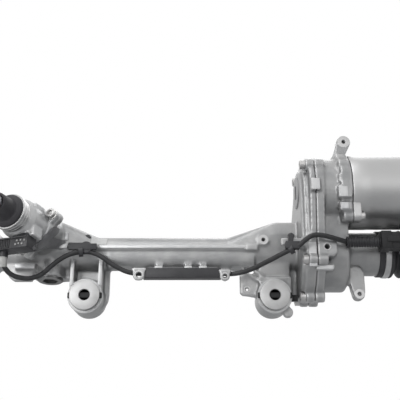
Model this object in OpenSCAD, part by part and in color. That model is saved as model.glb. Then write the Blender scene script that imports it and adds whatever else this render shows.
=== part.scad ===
// Electric power steering gear: a rack and pinion whose rack is also a ball screw,
// turned by a motor beside it through a belt. Sizes are in millimetres.
// The origin is midway between the two mounting bolts, on the front faces of their bushes.
// +X runs along the rack, -Y faces the front, +Z is up.

/* [Mounting] */
// Distance between the two mounting bolts
bush_span = 226; // [200:2:240]
// Height of the rack axis above the mounting bolts
bush_drop = 55.5; // [52:0.5:62]
// Length of a mounting bush from its front face to its back face
bush_len = 50; // [44:1:60]
// Bore for a mounting bolt
bolt_hole_d = 12.5; // [8.5:0.5:14.5]
// Outer diameter of the steel sleeve in a bush
sleeve_d = 20; // [18:0.5:24]
// Outer diameter of the rubber in a bush
bush_rubber_d = 33; // [30:1:38]
// Wall of the cast ring around a bush
bush_wall = 4.5; // [4:0.5:7]

/* [Rack and pinion] */
// Diameter of the rack bar
rack_d = 26; // [25:0.5:27]
// Travel of the rack to each side
rack_travel = 70; // [50:1:75]
// Module of the teeth, measured square to them
tooth_module = 2; // [1.8:0.1:2.1]
// Number of teeth on the pinion
pinion_teeth = 9; // [8:1:10]
// Angle of the pinion from square to the rack
cross_angle = 20; // [10:1:24]
// Tilt of the pinion's front end upwards
pinion_tilt = 6; // [2:1:10]
// Height of the tooth tips above the rack axis
rack_tip_h = 8.5; // [8:0.1:9.5]
// Distance from the middle of the gear to the pinion, to the left
pinion_side = 159; // [154:1:164]

/* [Ball screw] */
// Lead of the ball screw
screw_lead = 7; // [6:0.5:8]
// Diameter of a ball
ball_d = 4.7; // [4:0.1:5]
// Outer diameter of the ball nut
nut_d = 44; // [40:1:48]
// Outer diameter of the nut's bearing
nut_bearing_d = 78; // [72:1:80]

/* [Belt drive] */
// Distance of the motor axis in front of the rack axis
motor_front = 32; // [30:1:38]
// Height of the motor axis above the rack axis
motor_up = 69.5; // [69:0.5:76]
// Pitch of the belt's teeth
belt_pitch = 3; // [3:0.1:3.2]
// Number of teeth on the nut's pulley
nut_pulley_teeth = 92; // [84:1:94]
// Number of teeth on the motor's pulley
motor_pulley_teeth = 34; // [28:1:38]
// Width of the belt
belt_w = 17; // [12:1:18]
// Thickness of the belt's back
belt_back = 2; // [1.6:0.1:2.6]

/* [Housings] */
// Outer diameter of the rack tube
tube_d = 41; // [40:0.5:44]
// Inner diameter of the rack tube
tube_bore = 32; // [30:0.5:34]
// Distance from the middle of the gear to the left end of the tube
left_reach = 245; // [235:1:260]
// Distance from the middle of the gear to the right end of the nut tube
right_reach = 256; // [244:1:260]
// Outer diameter of the nut tube
nut_tube_d = 54; // [52:0.5:55]
// Outer radius of the belt housing around the rack
drum_r = 60; // [58:0.5:64]
// Outer radius of the belt housing around the motor axis
drum_top_r = 43; // [42:0.5:48]
// Wall of the belt housing
drum_wall = 5; // [4:0.5:6]

/* [Motor] */
// Outer diameter of the motor can
motor_d = 91; // [84:1:92]
// Length of the motor can
motor_len = 86; // [80:1:100]
// Length of the control unit behind the motor
ecu_len = 54; // [48:1:64]

/* [Tie rods] */
// Diameter of a tie rod
rod_d = 15; // [13:0.5:16]
// Length of a tie rod from its ball's centre to its tip
rod_len = 235; // [220:1:260]
// Diameter of an inner ball
joint_ball_d = 26; // [25:0.5:27]
// Distance from a housing's end to the ball's centre, with the rack in the middle
ball_reach = 108; // [104:1:114]

/* [Hidden] */

$fn = 96;
fine = 0.01;

// Clearances
slip = 0.06;

// Colours
cast = [0.72, 0.73, 0.74];
steel = [0.62, 0.63, 0.65];
dark_steel = [0.35, 0.36, 0.38];
black = [0.07, 0.07, 0.08];

// Teeth: an involute pinion on a straight-sided rack
pressure_angle = 20;
tooth_shift = 0.5;
backlash = 0.12;
tooth_pitch = PI * tooth_module;
roll_r = tooth_module * pinion_teeth / 2;
base_r = roll_r * cos(pressure_angle);
tip_r = roll_r + tooth_module * (1 + tooth_shift) - 0.2 * tooth_module;
root_r = roll_r - tooth_module * (1.25 - tooth_shift);
ref_h = rack_tip_h - tooth_module;
pinion_h = ref_h + roll_r + tooth_shift * tooth_module;
tooth_depth = 2.25 * tooth_module;
rack_r = rack_d / 2;
pinion_x = -pinion_side;
tooth_face = rack_d / cos(cross_angle) + 2;

// Places along the pinion's axis, outwards from the rack
low_bearing_w = 10;
low_bearing_r = 14;
low_journal_r = 6;
up_bearing_w = 13;
up_bearing_r = 20;
up_journal_r = 10;
low_bearing_z = -tooth_face / 2 - 2 - low_bearing_w;
up_bearing_z = tooth_face / 2 + 5;
tower_r = 25;
tower_back = low_bearing_z - 5;
tower_flange_z = 46;
tower_flange_r = 28;
tower_flange_w = 7;
sensor_r = 24;
sensor_top_z = 84;
neck_r = 20;
neck_top_z = 99;
cap_top_z = 124;
input_tip_z = 152;
input_r = 9;
spline_count = 16;
head_top_z = 48;
dog_z = 38;
plug_face_t = -3;
sensor_plug_n = -37.5;
torsion_r = 3.1;
tower_bolt_r = 30.5;
tower_bolt_angles = [22, 142, 262];

// The yoke that presses the rack on the pinion
yoke_r = 13.5;
yoke_top = 4;
yoke_end = 27;
yoke_plug_r = 16;
yoke_boss_r = 18.5;
yoke_plug_end = 35;
yoke_boss_end = 33;
yoke_gap = 0.1;

// Places along the rack
left_end = -left_reach;
right_end = right_reach;
drum_x0 = 143;
split_x = 160;
drum_x1 = 170;
barrel_x1 = 203;
barrel_r = 47;
flange_x0 = 190;
motor_x0 = 203;
motor_x1 = motor_x0 + motor_len;
ecu_x1 = motor_x1 + ecu_len;
ecu_split = 30;
socket_deep = 16;
motor_r = motor_d / 2;
motor_at = [-motor_front, motor_up];
motor_flange_r = motor_r;
nut_x0 = 149;
nut_x1 = 206;
nut_tube_wall = 4;
nut_r = nut_d / 2;
pulley_x0 = 150;
nut_bearing_x0 = 177;
nut_bearing_w = 18;
nut_bearing_r = nut_bearing_d / 2;
lock_ring_w = 5;
screw_centre_r = rack_r + 0.6;
screw_root_r = screw_centre_r - ball_d / 2 - 0.25;
ball_bore_r = screw_centre_r + ball_d / 2 + 0.1;
balls_x0 = 181;
ball_turns = 3;
balls_per_turn = 15;

// The belt and its pulleys
nut_pulley_r = nut_pulley_teeth * belt_pitch / (2 * PI);
motor_pulley_r = motor_pulley_teeth * belt_pitch / (2 * PI);
belt_gap = 0.25;
shaft_r = 6;

// Tie rods and boots
ball_left_x = left_end - ball_reach;
ball_right_x = right_end + ball_reach;
joint_ball_r = joint_ball_d / 2;
seat_wall = 2;
socket_r = joint_ball_r + seat_wall + 5;
socket_back = 27;
socket_front = 10;
stud_r = 8;
stud_len = 20;
rod_r = rod_d / 2;
rod_neck_r = 6.5;
boot_len = 190;
boot_wall = 1.5;
boot_folds = 11;
boot_big_r = nut_tube_d / 2 + boot_wall;
boot_seat = 17;
clamp_w = 7;
clamp_t = 1.2;

// Cable route, along the front of the tube
cable_r = 2.9;
cable_end_y = -54.5;
cable_end_z = 0.5;
cable_route = [[-202.5, -62.5, -21.6], [-202, -60, -26], [-199, -56, -33], [-193, -51, -38], [-184, -45, -40],
    [-174, -39, -39], [-163, -34, -33], [-152, -34, -23], [-140, -33, -13], [-129, -32, -7.5], [-119, -30, -5],
    [-110, -29, -4.5], [-101, -29, -7], [-92, -29, -12], [-82, -28, -19], [-72, -27, -24.5], [-62, -26, -28.5],
    [-52, -25, -30], [-40, -24, -30], [-10, -24, -30], [25, -24, -30], [50, -24, -30], [62, -25, -30.5],
    [74, -29, -29.5], [86, -36, -27], [98, -45, -23], [108, -53, -19.5], [118, -60, -15.5], [129, -65, -11],
    [138, -68, -7], [145, -71, -1.5], [153, -73, 3], [163, -72.5, 3.5], [173, -70, 2], [183, -66, 0.5],
    [192, -58, 0.5], [199, cable_end_y, cable_end_z], [234, cable_end_y, cable_end_z]];
plug_x = 234;
pod_x = 259;
conduit_r = 6.6;
conduit_x0 = 195;
conduit_pitch = 3;

// Everything below is drawn with the rack axis on the X axis, then put on its mounts
module on_mounts() translate([0, bush_len / 2, bush_drop]) children();

// A round bar along X, at a place given across it
module bar(r, x0, x1, at = [0, 0]) translate([x0, at[0], at[1]]) rotate([0, 90, 0]) cylinder(r = r, h = x1 - x0);

// A flat outline given in Y and Z, as thick as x0 to x1
module slab(x0, x1) translate([x0, 0, 0]) rotate([90, 0, 90]) linear_extrude(x1 - x0) children();

// A profile given as radius and X, turned about the rack axis
module lathe(at = [0, 0]) translate([0, at[0], at[1]]) rotate([90, 0, 90]) rotate_extrude() children();

// A pin along Y from its front face backwards
module pin_y(r, x, z, y0, y1) translate([x, y1, z]) rotate([90, 0, 0]) cylinder(r = r, h = y1 - y0);

// A box given by its corners
module block(a, b) translate(a) cube(b - a);

// The pinion's own axes: Z runs out of the tower, Y away from the rack
module at_pinion() translate([pinion_x, 0, 0]) rotate([-pinion_tilt, 0, 0]) translate([0, 0, pinion_h])
    rotate([0, 0, -cross_angle]) rotate([90, 0, 0]) children();

// The yoke's axis: Z runs down, away from the rack
module at_yoke() translate([pinion_x, 0, 0]) rotate([180 - pinion_tilt, 0, 0]) children();

module disc(r, z0, z1) translate([0, 0, z0]) cylinder(r = r, h = z1 - z0);

// A mounting eye's centre
function eye_x(side) = side * bush_span / 2;
eye_r = bush_rubber_d / 2 + bush_wall;

// Two circles and the tangents that join them, with true arcs
module link(a, ra, b, rb) {
    lean = atan2(b[1] - a[1], b[0] - a[0]);
    open = acos((ra - rb) / norm(b - a));
    translate(a) circle(ra);
    translate(b) circle(rb);
    polygon([for (q = [[a, ra, 1], [b, rb, 1], [b, rb, -1], [a, ra, -1]])
        q[0] + (q[1] - fine) * [cos(lean + q[2] * open), sin(lean + q[2] * open)]]);
}

// A belt outline around the rack axis and the motor axis
module belt_outline(r1, r2) link([0, 0], r1, motor_at, r2);

// A plate seen from the front, from its front face to its back face
module plate_y(y0, y1) translate([0, y1, 0]) rotate([90, 0, 0]) linear_extrude(y1 - y0) children();

// A tube swept along points, as one closed surface
function unit(v) = v / max(norm(v), 1e-6);
function heading(p, i) = unit(p[min(i + 1, len(p) - 1)] - p[max(i - 1, 0)]);
module swept(p, r, sides = 8) {
    n = len(p);
    rings = [for (i = [0:n - 1]) let (d = heading(p, i), u = unit(cross(d, [0.2, 0.1, 1])), v = cross(d, u))
        for (k = [0:sides - 1]) p[i] + r * (cos(360 * k / sides) * u + sin(360 * k / sides) * v)];
    walls = [for (i = [0:n - 2], k = [0:sides - 1]) let (m = (k + 1) % sides)
        for (t = [[i * sides + k, (i + 1) * sides + m, (i + 1) * sides + k],
            [i * sides + k, i * sides + m, (i + 1) * sides + m]]) t];
    caps = [[for (k = [sides - 1:-1:0]) k], [for (k = [0:sides - 1]) (n - 1) * sides + k]];
    polyhedron(rings, concat(walls, caps));
}

// Teeth

function involute(t) = tan(t) - t * PI / 180;
function half_tooth(r) = let (a = acos(min(1, base_r / r)), s = tooth_pitch / 2
    + 2 * tooth_shift * tooth_module * tan(pressure_angle) - backlash)
    (s / (2 * roll_r) + involute(pressure_angle) - involute(a)) * 180 / PI;
flank_steps = 5;
module pinion_outline() {
    start_r = max(base_r, root_r) + fine;
    flank = [for (i = [0:flank_steps]) start_r + (tip_r - start_r) * i / flank_steps];
    polygon([for (k = [0:pinion_teeth - 1]) let (c = 270 + k * 360 / pinion_teeth)
        for (q = concat([[root_r, -half_tooth(start_r)]], [for (r = flank) [r, -half_tooth(r)]],
            [for (i = [flank_steps:-1:0]) [flank[i], half_tooth(flank[i])]], [[root_r, half_tooth(start_r)]]))
            q[0] * [cos(c + q[1]), sin(c + q[1])]]);
}

rack_teeth = 2 * ceil((rack_travel * cos(cross_angle) + 1.6 * tooth_pitch) / tooth_pitch) + 1;
tooth_cut_len = rack_teeth * tooth_pitch * tan(cross_angle) + 2 * rack_d;

// What is cut from the bar above the teeth, in the plane across the pinion
module tooth_gaps() {
    lean = tan(pressure_angle);
    gap_root = tooth_pitch / 4 - (tooth_depth - tooth_module) * lean;
    top = rack_tip_h + 8;
    gap_top = tooth_pitch / 4 + tooth_module * lean;
    half = (rack_teeth - 1) / 2;
    for (k = [-half:half]) translate([k * tooth_pitch, 0])
        polygon([[-gap_root, rack_tip_h - tooth_depth], [gap_root, rack_tip_h - tooth_depth],
            [gap_top, rack_tip_h + fine], [-gap_top, rack_tip_h + fine]]);
    translate([-(half + 0.5) * tooth_pitch, rack_tip_h]) square([(2 * half + 1) * tooth_pitch, top - rack_tip_h]);
}

module rack() color(steel) on_mounts() difference() {
    union() {
        bar(rack_r, ball_left_x + socket_back, ball_right_x - socket_back);
    }
    translate([pinion_x, 0, 0]) rotate([-pinion_tilt, 0, 0]) rotate([0, 0, -cross_angle]) rotate([90, 0, 0])
        linear_extrude(tooth_cut_len, center = true) tooth_gaps();
    difference() {
        bar(rack_r + 1, nut_x0 + 4 - rack_travel, nut_x1 + rack_travel + 2);
        bar(screw_root_r, nut_x0 - rack_travel, nut_x1 + rack_travel + 3);
    }
    bar(stud_r, ball_left_x + socket_back - 1, ball_left_x + socket_back + stud_len);
    bar(stud_r, ball_right_x - socket_back - stud_len, ball_right_x - socket_back + 1);
}

module pinion_shaft() color(steel) on_mounts() at_pinion() difference() {
    union() {
        disc(low_journal_r, low_bearing_z, -tooth_face / 2 + fine);
        translate([0, 0, -tooth_face / 2]) linear_extrude(tooth_face) pinion_outline();
        disc(up_journal_r, tooth_face / 2 - fine, head_top_z);
    }
    disc(torsion_r, -8, dog_z + 1);
    disc(input_r - 2.5 + 0.3, dog_z, head_top_z + 1);
    translate([-input_r, -2.8, dog_z]) cube([2 * input_r, 5.6, 6]);
}

module input_shaft() color(steel) on_mounts() at_pinion() difference() {
    union() {
        disc(input_r - 2.5, dog_z + 0.4, head_top_z + 1);
        intersection() {
            disc(8, dog_z + 0.4, dog_z + 5.6);
            translate([-9, -2, dog_z]) cube([18, 4, 8]);
        }
        disc(up_journal_r, head_top_z + 0.5, head_top_z + 3);
        disc(14.5, head_top_z + 3, head_top_z + 12);
        disc(input_r, head_top_z + 2, input_tip_z - 26);
        difference() {
            disc(input_r, input_tip_z - 26, input_tip_z);
            for (k = [0:spline_count - 1]) rotate([0, 0, k * 360 / spline_count]) translate([input_r, 0, 0])
                disc(0.4, input_tip_z - 24, input_tip_z + 1);
        }
    }
    disc(torsion_r + slip, dog_z - 1, 114);
    disc(input_r - 4, input_tip_z - 3, input_tip_z + 1);
    difference() {
        disc(input_r + 1, input_tip_z - 16, input_tip_z - 10);
        disc(input_r - 1.4, input_tip_z - 17, input_tip_z - 9);
    }
}

module torsion_bar() color(dark_steel) on_mounts() at_pinion() {
    disc(torsion_r, -8, 10);
    disc(torsion_r - 0.6, 10, 100);
    disc(torsion_r, 100, 113.5);
}

// One bearing: two rings and the rollers or balls between them
module bearing(r0, r1, z0, w, balls) {
    wall = (r1 - r0) * 0.28;
    mid = (r0 + r1) / 2;
    difference() {
        disc(r1, z0, z0 + w);
        disc(r1 - wall, z0 - 1, z0 + w + 1);
    }
    difference() {
        disc(r0 + wall, z0, z0 + w);
        disc(r0, z0 - 1, z0 + w + 1);
    }
    for (k = [0:balls - 1]) rotate([0, 0, k * 360 / balls]) translate([mid, 0, z0 + w / 2])
        sphere(r = mid - r0 - wall - slip);
}

module pinion_bearings() color(steel) on_mounts() at_pinion() {
    bearing(low_journal_r + slip, low_bearing_r, low_bearing_z, low_bearing_w, 8);
    bearing(up_journal_r + slip, up_bearing_r, up_bearing_z, up_bearing_w, 10);
    bearing(input_r + slip, 14, sensor_top_z - 6, 10, 12);
}

module shaft_seal() color(black) on_mounts() at_pinion() difference() {
    disc(14, sensor_top_z + 5, sensor_top_z + 11);
    disc(input_r + slip, sensor_top_z, sensor_top_z + 20);
    difference() {
        disc(12.6, sensor_top_z + 7, sensor_top_z + 20);
        disc(10.6, sensor_top_z + 6, sensor_top_z + 21);
    }
}

module dust_cap() color(black) on_mounts() at_pinion() difference() {
    union() {
        rotate_extrude() polygon([[0, neck_top_z - 7], [neck_r + 1.5, neck_top_z - 7], [neck_r + 1.5, neck_top_z + 1],
            [neck_r - 1, neck_top_z + 4], [14, neck_top_z + 6], [12.5, cap_top_z], [0, cap_top_z]]);
    }
    disc(input_r + 0.4, neck_top_z - 10, cap_top_z + 1);
    disc(neck_r - 1, neck_top_z - 8, neck_top_z);
}

// Ears for the tower's bolts, seen along the pinion
module tower_ears(r, ear) {
    circle(r);
    for (a = tower_bolt_angles) rotate(a) link([r - 14, 0], 12, [tower_bolt_r, 0], ear);
}

module sensor_housing() color(cast) on_mounts() at_pinion() difference() {
    union() {
        translate([0, 0, tower_flange_z]) linear_extrude(tower_flange_w) tower_ears(sensor_r + 2, 6.5);
        disc(sensor_r, tower_flange_z, sensor_top_z - 6);
        rotate_extrude() polygon([[0, sensor_top_z - 7], [sensor_r, sensor_top_z - 6], [neck_r + 1, sensor_top_z],
            [0, sensor_top_z]]);
        rotate_extrude() polygon([[0, sensor_top_z - 1], [neck_r, sensor_top_z - 1], [neck_r, sensor_top_z + 3],
            [neck_r - 1, sensor_top_z + 4], [neck_r - 1, neck_top_z], [0, neck_top_z]]);
        translate([2, -sensor_r + 1, 60]) cube([20, sensor_r + 16, 18]);
        translate([plug_face_t, sensor_plug_n, 62]) cube([19, 22, 18]);
    }
    disc(sensor_r - 3.5, tower_flange_z - 1, sensor_top_z - 12);
    disc(up_journal_r + 2, sensor_top_z - 13, neck_top_z + 1);
    disc(14, sensor_top_z - 6, neck_top_z + 1);
    for (a = tower_bolt_angles) rotate([0, 0, a]) translate([tower_bolt_r, 0, 0]) disc(3.3, 0, 90);
}

module sensor_unit() color(black) on_mounts() at_pinion() {
    difference() {
        disc(sensor_r - 3.5, head_top_z + 2, head_top_z + 14);
        disc(15.5, head_top_z, head_top_z + 20);
    }
}

module tower_bolts() color(steel) on_mounts() at_pinion()
    for (a = tower_bolt_angles) rotate([0, 0, a]) translate([tower_bolt_r, 0, 0]) {
        disc(3, tower_flange_z - 11, tower_flange_z + tower_flange_w);
        difference() {
            disc(5.5, tower_flange_z + tower_flange_w, tower_flange_z + tower_flange_w + 6);
            translate([0, 0, tower_flange_z + tower_flange_w + 3]) cylinder(r = 3, h = 4, $fn = 6);
        }
    }

module sensor_connector() color(black) on_mounts() at_pinion() {
    translate([plug_face_t - 24, sensor_plug_n, 63]) cube([24, 13, 18]);
    translate([plug_face_t - 16, sensor_plug_n - 3, 72]) rotate([90, 0, 0]) cylinder(r = 5, h = 6, center = true);
}

// The yoke

module yoke() color(steel) on_mounts() difference() {
    at_yoke() disc(yoke_r - slip, yoke_top, yoke_end);
    bar(rack_r + slip, pinion_x - 30, pinion_x + 30);
    at_yoke() disc(8.5, 18, yoke_end + 1);
    at_yoke() difference() {
        disc(yoke_r + 1, 21, 23.4);
        disc(yoke_r - 1.7, 20, 24);
    }
}

spring_turns = 2.5;
module yoke_spring() color(dark_steel) on_mounts() at_yoke() {
    first = 19.1;
    last = yoke_end + yoke_gap + 0.4;
    swept([for (i = [0:spring_turns * 14]) [6.6 * cos(i * 360 / 14), 6.6 * sin(i * 360 / 14),
        first + (last - first) * i / (spring_turns * 14)]], 1, 6);
}

module yoke_ring() color(black) on_mounts() at_yoke() translate([0, 0, 22.2]) rotate_extrude()
    translate([yoke_r - 0.85, 0]) circle(0.8, $fn = 24);

module yoke_plug() color(dark_steel) on_mounts() at_yoke() difference() {
    disc(yoke_plug_r, yoke_end + yoke_gap, yoke_plug_end);
    disc(8.5, yoke_end - 1, yoke_end + 1.6);
    translate([0, 0, yoke_plug_end - 4]) cylinder(r = 9.5, h = 5, $fn = 6);
    difference() {
        disc(yoke_plug_r + 1, yoke_plug_end - 1.2, yoke_plug_end + 1);
        disc(yoke_plug_r - 1.5, yoke_plug_end - 2, yoke_plug_end + 1);
    }
}

module rack_bushing() color(black) on_mounts() difference() {
    bar(tube_bore / 2, left_end + 4, left_end + 20);
    bar(rack_r + slip, left_end, left_end + 30);
}

// The rack's casting

module eye_solid(side) pin_y(eye_r, eye_x(side), -bush_drop, -bush_len / 2 + 6, bush_len / 2 - 1);

module left_arm() {
    x = eye_x(-1);
    eye_solid(-1);
    plate_y(0, 9) link([x, -bush_drop], eye_r - 1, [x, 0], tube_d / 2);
    for (s = [-1, 1]) block([x + s * 17 - 2.5, -19, -bush_drop + 10], [x + s * 17 + 2.5, 20, -6]);
}

module right_arm() {
    x = eye_x(1);
    eye_solid(1);
    block([x - 18, -18, -bush_drop], [x + 21, 21, -bush_drop + 23]);
    block([x - 18, -15, -bush_drop + 20], [x + 20, 19, -8]);
    plate_y(-14, -7) polygon([[x - 41, -28], [x - 41, -51], [x - 38, -54], [x - 18, -57], [x - 12, -28]]);
    pin_y(6, x + 16, -bush_drop - 19, -16, -4);
}

// Ears under the tube, which hold the cable channel
ear_left_x = -49;
ear_right_x = 54;
ear_z = -29.5;
module tube_ear(x, wide) plate_y(-15, -10) link([x, ear_z], 5.5, [x, -13], wide);

module tower_casting() {
    at_pinion() {
        disc(tower_r, tower_back, tower_flange_z - 6);
        translate([0, 0, tower_flange_z - 9]) linear_extrude(9) tower_ears(tower_flange_r - 2, 6.5);
    }
    at_yoke() disc(yoke_boss_r, 0, yoke_boss_end);
    hull() {
        at_pinion() {
            translate([0, 0, tower_back + 3]) cylinder(r = tower_r - 1, h = 50, $fn = 32);
        }
        bar(tube_d / 2 + 1, pinion_x - 42, pinion_x - 40, $fn = 32);
        bar(tube_d / 2, pinion_x + 56, pinion_x + 58, $fn = 32);
    }
}

module drum_left() {
    slab(drum_x0 + 4, split_x) belt_outline(drum_r, drum_top_r - 10);
    slab(drum_x0, split_x) belt_outline(drum_r - 3, drum_top_r - 17);
    slab(split_x - 7, split_x) belt_outline(drum_r, drum_top_r);
}

// Bolts that hold the two halves of the belt housing together, as angles around each axis
drum_bolts = [for (a = [200, 250, 300, 345, 20]) (drum_r + 1) * [cos(a), sin(a)],
    for (a = [40, 144]) motor_at + (drum_top_r - 2) * [cos(a), sin(a)]];
module drum_bosses(x0, x1) for (p = drum_bolts) bar(7, x0, x1, p);

module rack_housing() color(cast) on_mounts() difference() {
    union() {
        bar(tube_d / 2 + 0.5, left_end, pinion_x + 20);
        bar(tube_d / 2, pinion_x, drum_x0 + 2);
        // Collar that the left boot sits on
        lathe() polygon([[0, left_end], [nut_tube_d / 2 - 1, left_end], [nut_tube_d / 2, left_end + 1],
            [nut_tube_d / 2, left_end + 17], [tube_d / 2, left_end + 23], [0, left_end + 23]]);
        // Web under the left end of the tube
        plate_y(-15, -3) polygon([[-214, -12], [-207, -32], [-202, -36], [-180, -36], [-174, -12]]);
        tower_casting();
        left_arm();
        right_arm();
        tube_ear(ear_left_x, 10);
        tube_ear(ear_right_x, 8);
        // Ribs along the front of the tube
        block([-98, -tube_d / 2 - 2, 0.5], [93, -12, 4.5]);
        block([80, -tube_d / 2 - 4, -1], [94, -12, 6]);
        block([-70, -16, -tube_d / 2 + 0.5], [82, -6, -13]);
        for (x = [-25, 9.5, 27.5]) block([x - 4, -19, -tube_d / 2 + 0.2], [x + 4, -8, -12]);
        // Boss on the tube and the shelf for the first cable clip
        pin_y(7, 101, 12, -25, 0);
        block([-136, -30, 1.2], [-100, -15, 4.5]);
        block([118, -61, -5.5], [drum_x0 + 4, -57, bracket_top]);
        block([137, -61, -5.5], [drum_x0 + 4, -45, bracket_top]);
        // Flare up to the belt housing
        hull() {
            bar(tube_d / 2, 58, 60, $fn = 32);
            bar(tube_d / 2, 138, 145, $fn = 32);
            block([116, -26, 20], [145, 22, 34]);
        }
        drum_left();
        drum_bosses(drum_x0 + 6, split_x);
        // Boss around the end of the motor shaft
        bar(22, drum_x0, split_x, motor_at);
        block([split_x - 6.5, -79, 57], [split_x, -60, 72]);
    }
    // Rack bore
    bar(tube_bore / 2, left_end - 1, drum_x0 + 12);
    // Pinion bores
    at_pinion() {
        disc(low_bearing_r, low_bearing_z, 0);
        disc(low_bearing_r + 1.5, -tooth_face / 2 - 1, up_bearing_z + 1);
        disc(up_bearing_r, up_bearing_z, tower_flange_z + 1);
        for (a = tower_bolt_angles) rotate([0, 0, a]) translate([tower_bolt_r, 0, 0])
            disc(3, tower_flange_z - 11, tower_flange_z + 1);
    }
    // Yoke bores
    at_yoke() {
        disc(yoke_r, 0, yoke_boss_end + 1);
        disc(yoke_plug_r, yoke_end + yoke_gap, yoke_boss_end + 1);
    }
    // Mounting eyes
    for (s = [-1, 1]) pin_y(bush_rubber_d / 2, eye_x(s), -bush_drop, -bush_len, bush_len);
    // Belt room
    slab(drum_x0 + drum_wall, split_x + 1) belt_outline(drum_r - 8, drum_top_r - 16);
    bar(16, drum_x0 - 1, drum_x0 + drum_wall + 1, motor_at);
    for (p = drum_bolts) {
        bar(3.3, drum_x0, split_x + 1, p);
        bar(7, drum_x0 - 1, drum_x0 + 6, p);
    }
    // Small holes
    pin_y(3.3, ear_left_x, ear_z, -30, 0);
    pin_y(2.6, ear_right_x, ear_z, -30, 0);
    pin_y(2.2, 101, 12, -30, -17);
    pin_y(2.2, eye_x(1) - 32.5, -47, -30, 0);
}

// The gear case: right half of the belt housing, the nut's bearing seat and the motor's flange

motor_bolt_at = [for (a = [72, 232, 345]) motor_at + (motor_r + 5.5) * [cos(a), sin(a)]];

// Lugs around the motor's rim, one at each of its bolts
module motor_lugs(x0, x1) for (p = motor_bolt_at) slab(x0, x1) link(p, 7, motor_at + 0.75 * (p - motor_at), 15);

lift_ear = [201.6, 130.6];
tube_lug = [213.5, -54];
module gear_case() color(cast) on_mounts() difference() {
    union() {
        slab(split_x, drum_x1) belt_outline(drum_r, drum_top_r);
        drum_bosses(split_x, drum_x1 + 2);
        bar(barrel_r, split_x, barrel_x1 - 4);
        lathe() polygon([[0, barrel_x1 - 5], [barrel_r, barrel_x1 - 5], [barrel_r - 2, barrel_x1 - 2],
            [nut_tube_d / 2 + 3, barrel_x1 - 0.5], [nut_tube_d / 2, barrel_x1 + 4], [0, barrel_x1 + 4]]);
        bar(nut_tube_d / 2, barrel_x1, right_end);
        bar(drum_top_r - 2, split_x, flange_x0 + 1, motor_at);
        bar(motor_flange_r, flange_x0, motor_x0, motor_at);
        slab(split_x, motor_x0 - 3) belt_outline(barrel_r - 2, drum_top_r - 14);
        motor_lugs(flange_x0 + 1, motor_x0);
        // Lifting ear on top of the flange
        plate_y(-50, -34) link(lift_ear, 8.6, [191.5, 104], 5.5);
        plate_y(-46, -39) polygon([[180, 104], [198, 104], [198, 128], [192, 125], [187, 112]]);
        // Lug under the nut tube
        plate_y(-22, -8) link(tube_lug, 7, [211, -30], 10);
        // Threaded tab on the front and the small block above it
        plate_y(-62, -30) polygon([[split_x, 3], [split_x, -14], [164, -18], [179, -18], [183, -14], [183, 3]]);
        block([split_x, -52, -31], [180, -30, -25]);
        block([split_x, -79, 57], [164.5, -60, 72]);
    }
    // Nut, bearing and rack bores
    slab(split_x - 1, drum_x1 - 2) belt_outline(drum_r - 8, drum_top_r - 16);
    bar(nut_bearing_r, drum_x1 - 3, nut_bearing_x0 + nut_bearing_w);
    bar(nut_bearing_r - 7, drum_x1, nut_bearing_x0 + nut_bearing_w + 2);
    bar(nut_tube_d / 2 - nut_tube_wall, drum_x1, right_end + 1);
    // Motor shaft and its bearing
    bar(10, drum_x1 - 3, motor_x0 + 1, motor_at);
    bar(15, motor_x0 - 9, motor_x0 + 1, motor_at);
    for (p = drum_bolts) bar(3, split_x - 1, drum_x1 + 3, p);
    for (p = motor_bolt_at) bar(2.5, flange_x0 + 1, motor_x0 + 1, p);
    pin_y(2.4, lift_ear[0], lift_ear[1], -60, -30);
    pin_y(2.2, tube_lug[0], tube_lug[1], -30, 0);
    pin_y(3, 171, -7, -70, -50);
}

module flange_bolts() color(steel) on_mounts() {
    for (p = drum_bolts) {
        bar(3, drum_x0 + 6, drum_x1 + 1, p);
        difference() {
            bar(5.5, drum_x0, drum_x0 + 6, p);
            translate([drum_x0 - 1, p[0], p[1]]) rotate([0, 90, 0]) cylinder(r = 3, h = 4, $fn = 6);
        }
    }
    for (p = motor_bolt_at) {
        bar(2.5, flange_x0 + 2, motor_x0 + 9, p);
        bar(4.8, motor_x0 + 9, motor_x0 + 14, p);
    }
}

module shaft_end_cover() color(cast) on_mounts() difference() {
    union() {
        bar(16, drum_x0, drum_x0 + drum_wall, motor_at);
        bar(20, drum_x0 - 1.5, drum_x0, motor_at);
    }
    translate([drum_x0 - 2.5, motor_at[0] - 1.5, motor_at[1] - 8]) cube([2, 3, 16]);
}

bush_flange_r = 18;
module bush_sleeve(side) color(steel) on_mounts() difference() {
    union() {
        pin_y(sleeve_d / 2, eye_x(side), -bush_drop, -bush_len / 2, bush_len / 2);
        pin_y(bush_flange_r, eye_x(side), -bush_drop, -bush_len / 2, -bush_len / 2 + 2.5);
    }
    pin_y(bolt_hole_d / 2, eye_x(side), -bush_drop, -bush_len, bush_len);
}

module bush_rubber(side) color(black) on_mounts() difference() {
    union() {
        pin_y(bush_rubber_d / 2, eye_x(side), -bush_drop, -bush_len / 2 + 2.5, bush_len / 2 - 2);
        pin_y(bush_rubber_d / 2 + 1, eye_x(side), -bush_drop, -bush_len / 2 + 2.5, -bush_len / 2 + 6);
        block([eye_x(side) - 20.5, -bush_len / 2 + 2.5, -bush_drop - 3.5],
            [eye_x(side) + 20.5, -bush_len / 2 + 6, -bush_drop + 3.5]);
    }
    pin_y(sleeve_d / 2, eye_x(side), -bush_drop, -bush_len, bush_len);
}

// Ball nut and its bearing

module ball_nut() color(steel) on_mounts() difference() {
    union() {
        bar(nut_r, nut_x0, nut_x1);
        bar(nut_r + 4, pulley_x0 + belt_w + 2, nut_bearing_x0 - 1);
    }
    bar(rack_r + 0.3, nut_x0 - 1, nut_x1 + 1);
    bar(ball_bore_r, balls_x0 - 4, balls_x0 + ball_turns * screw_lead + 4);
}

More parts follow.
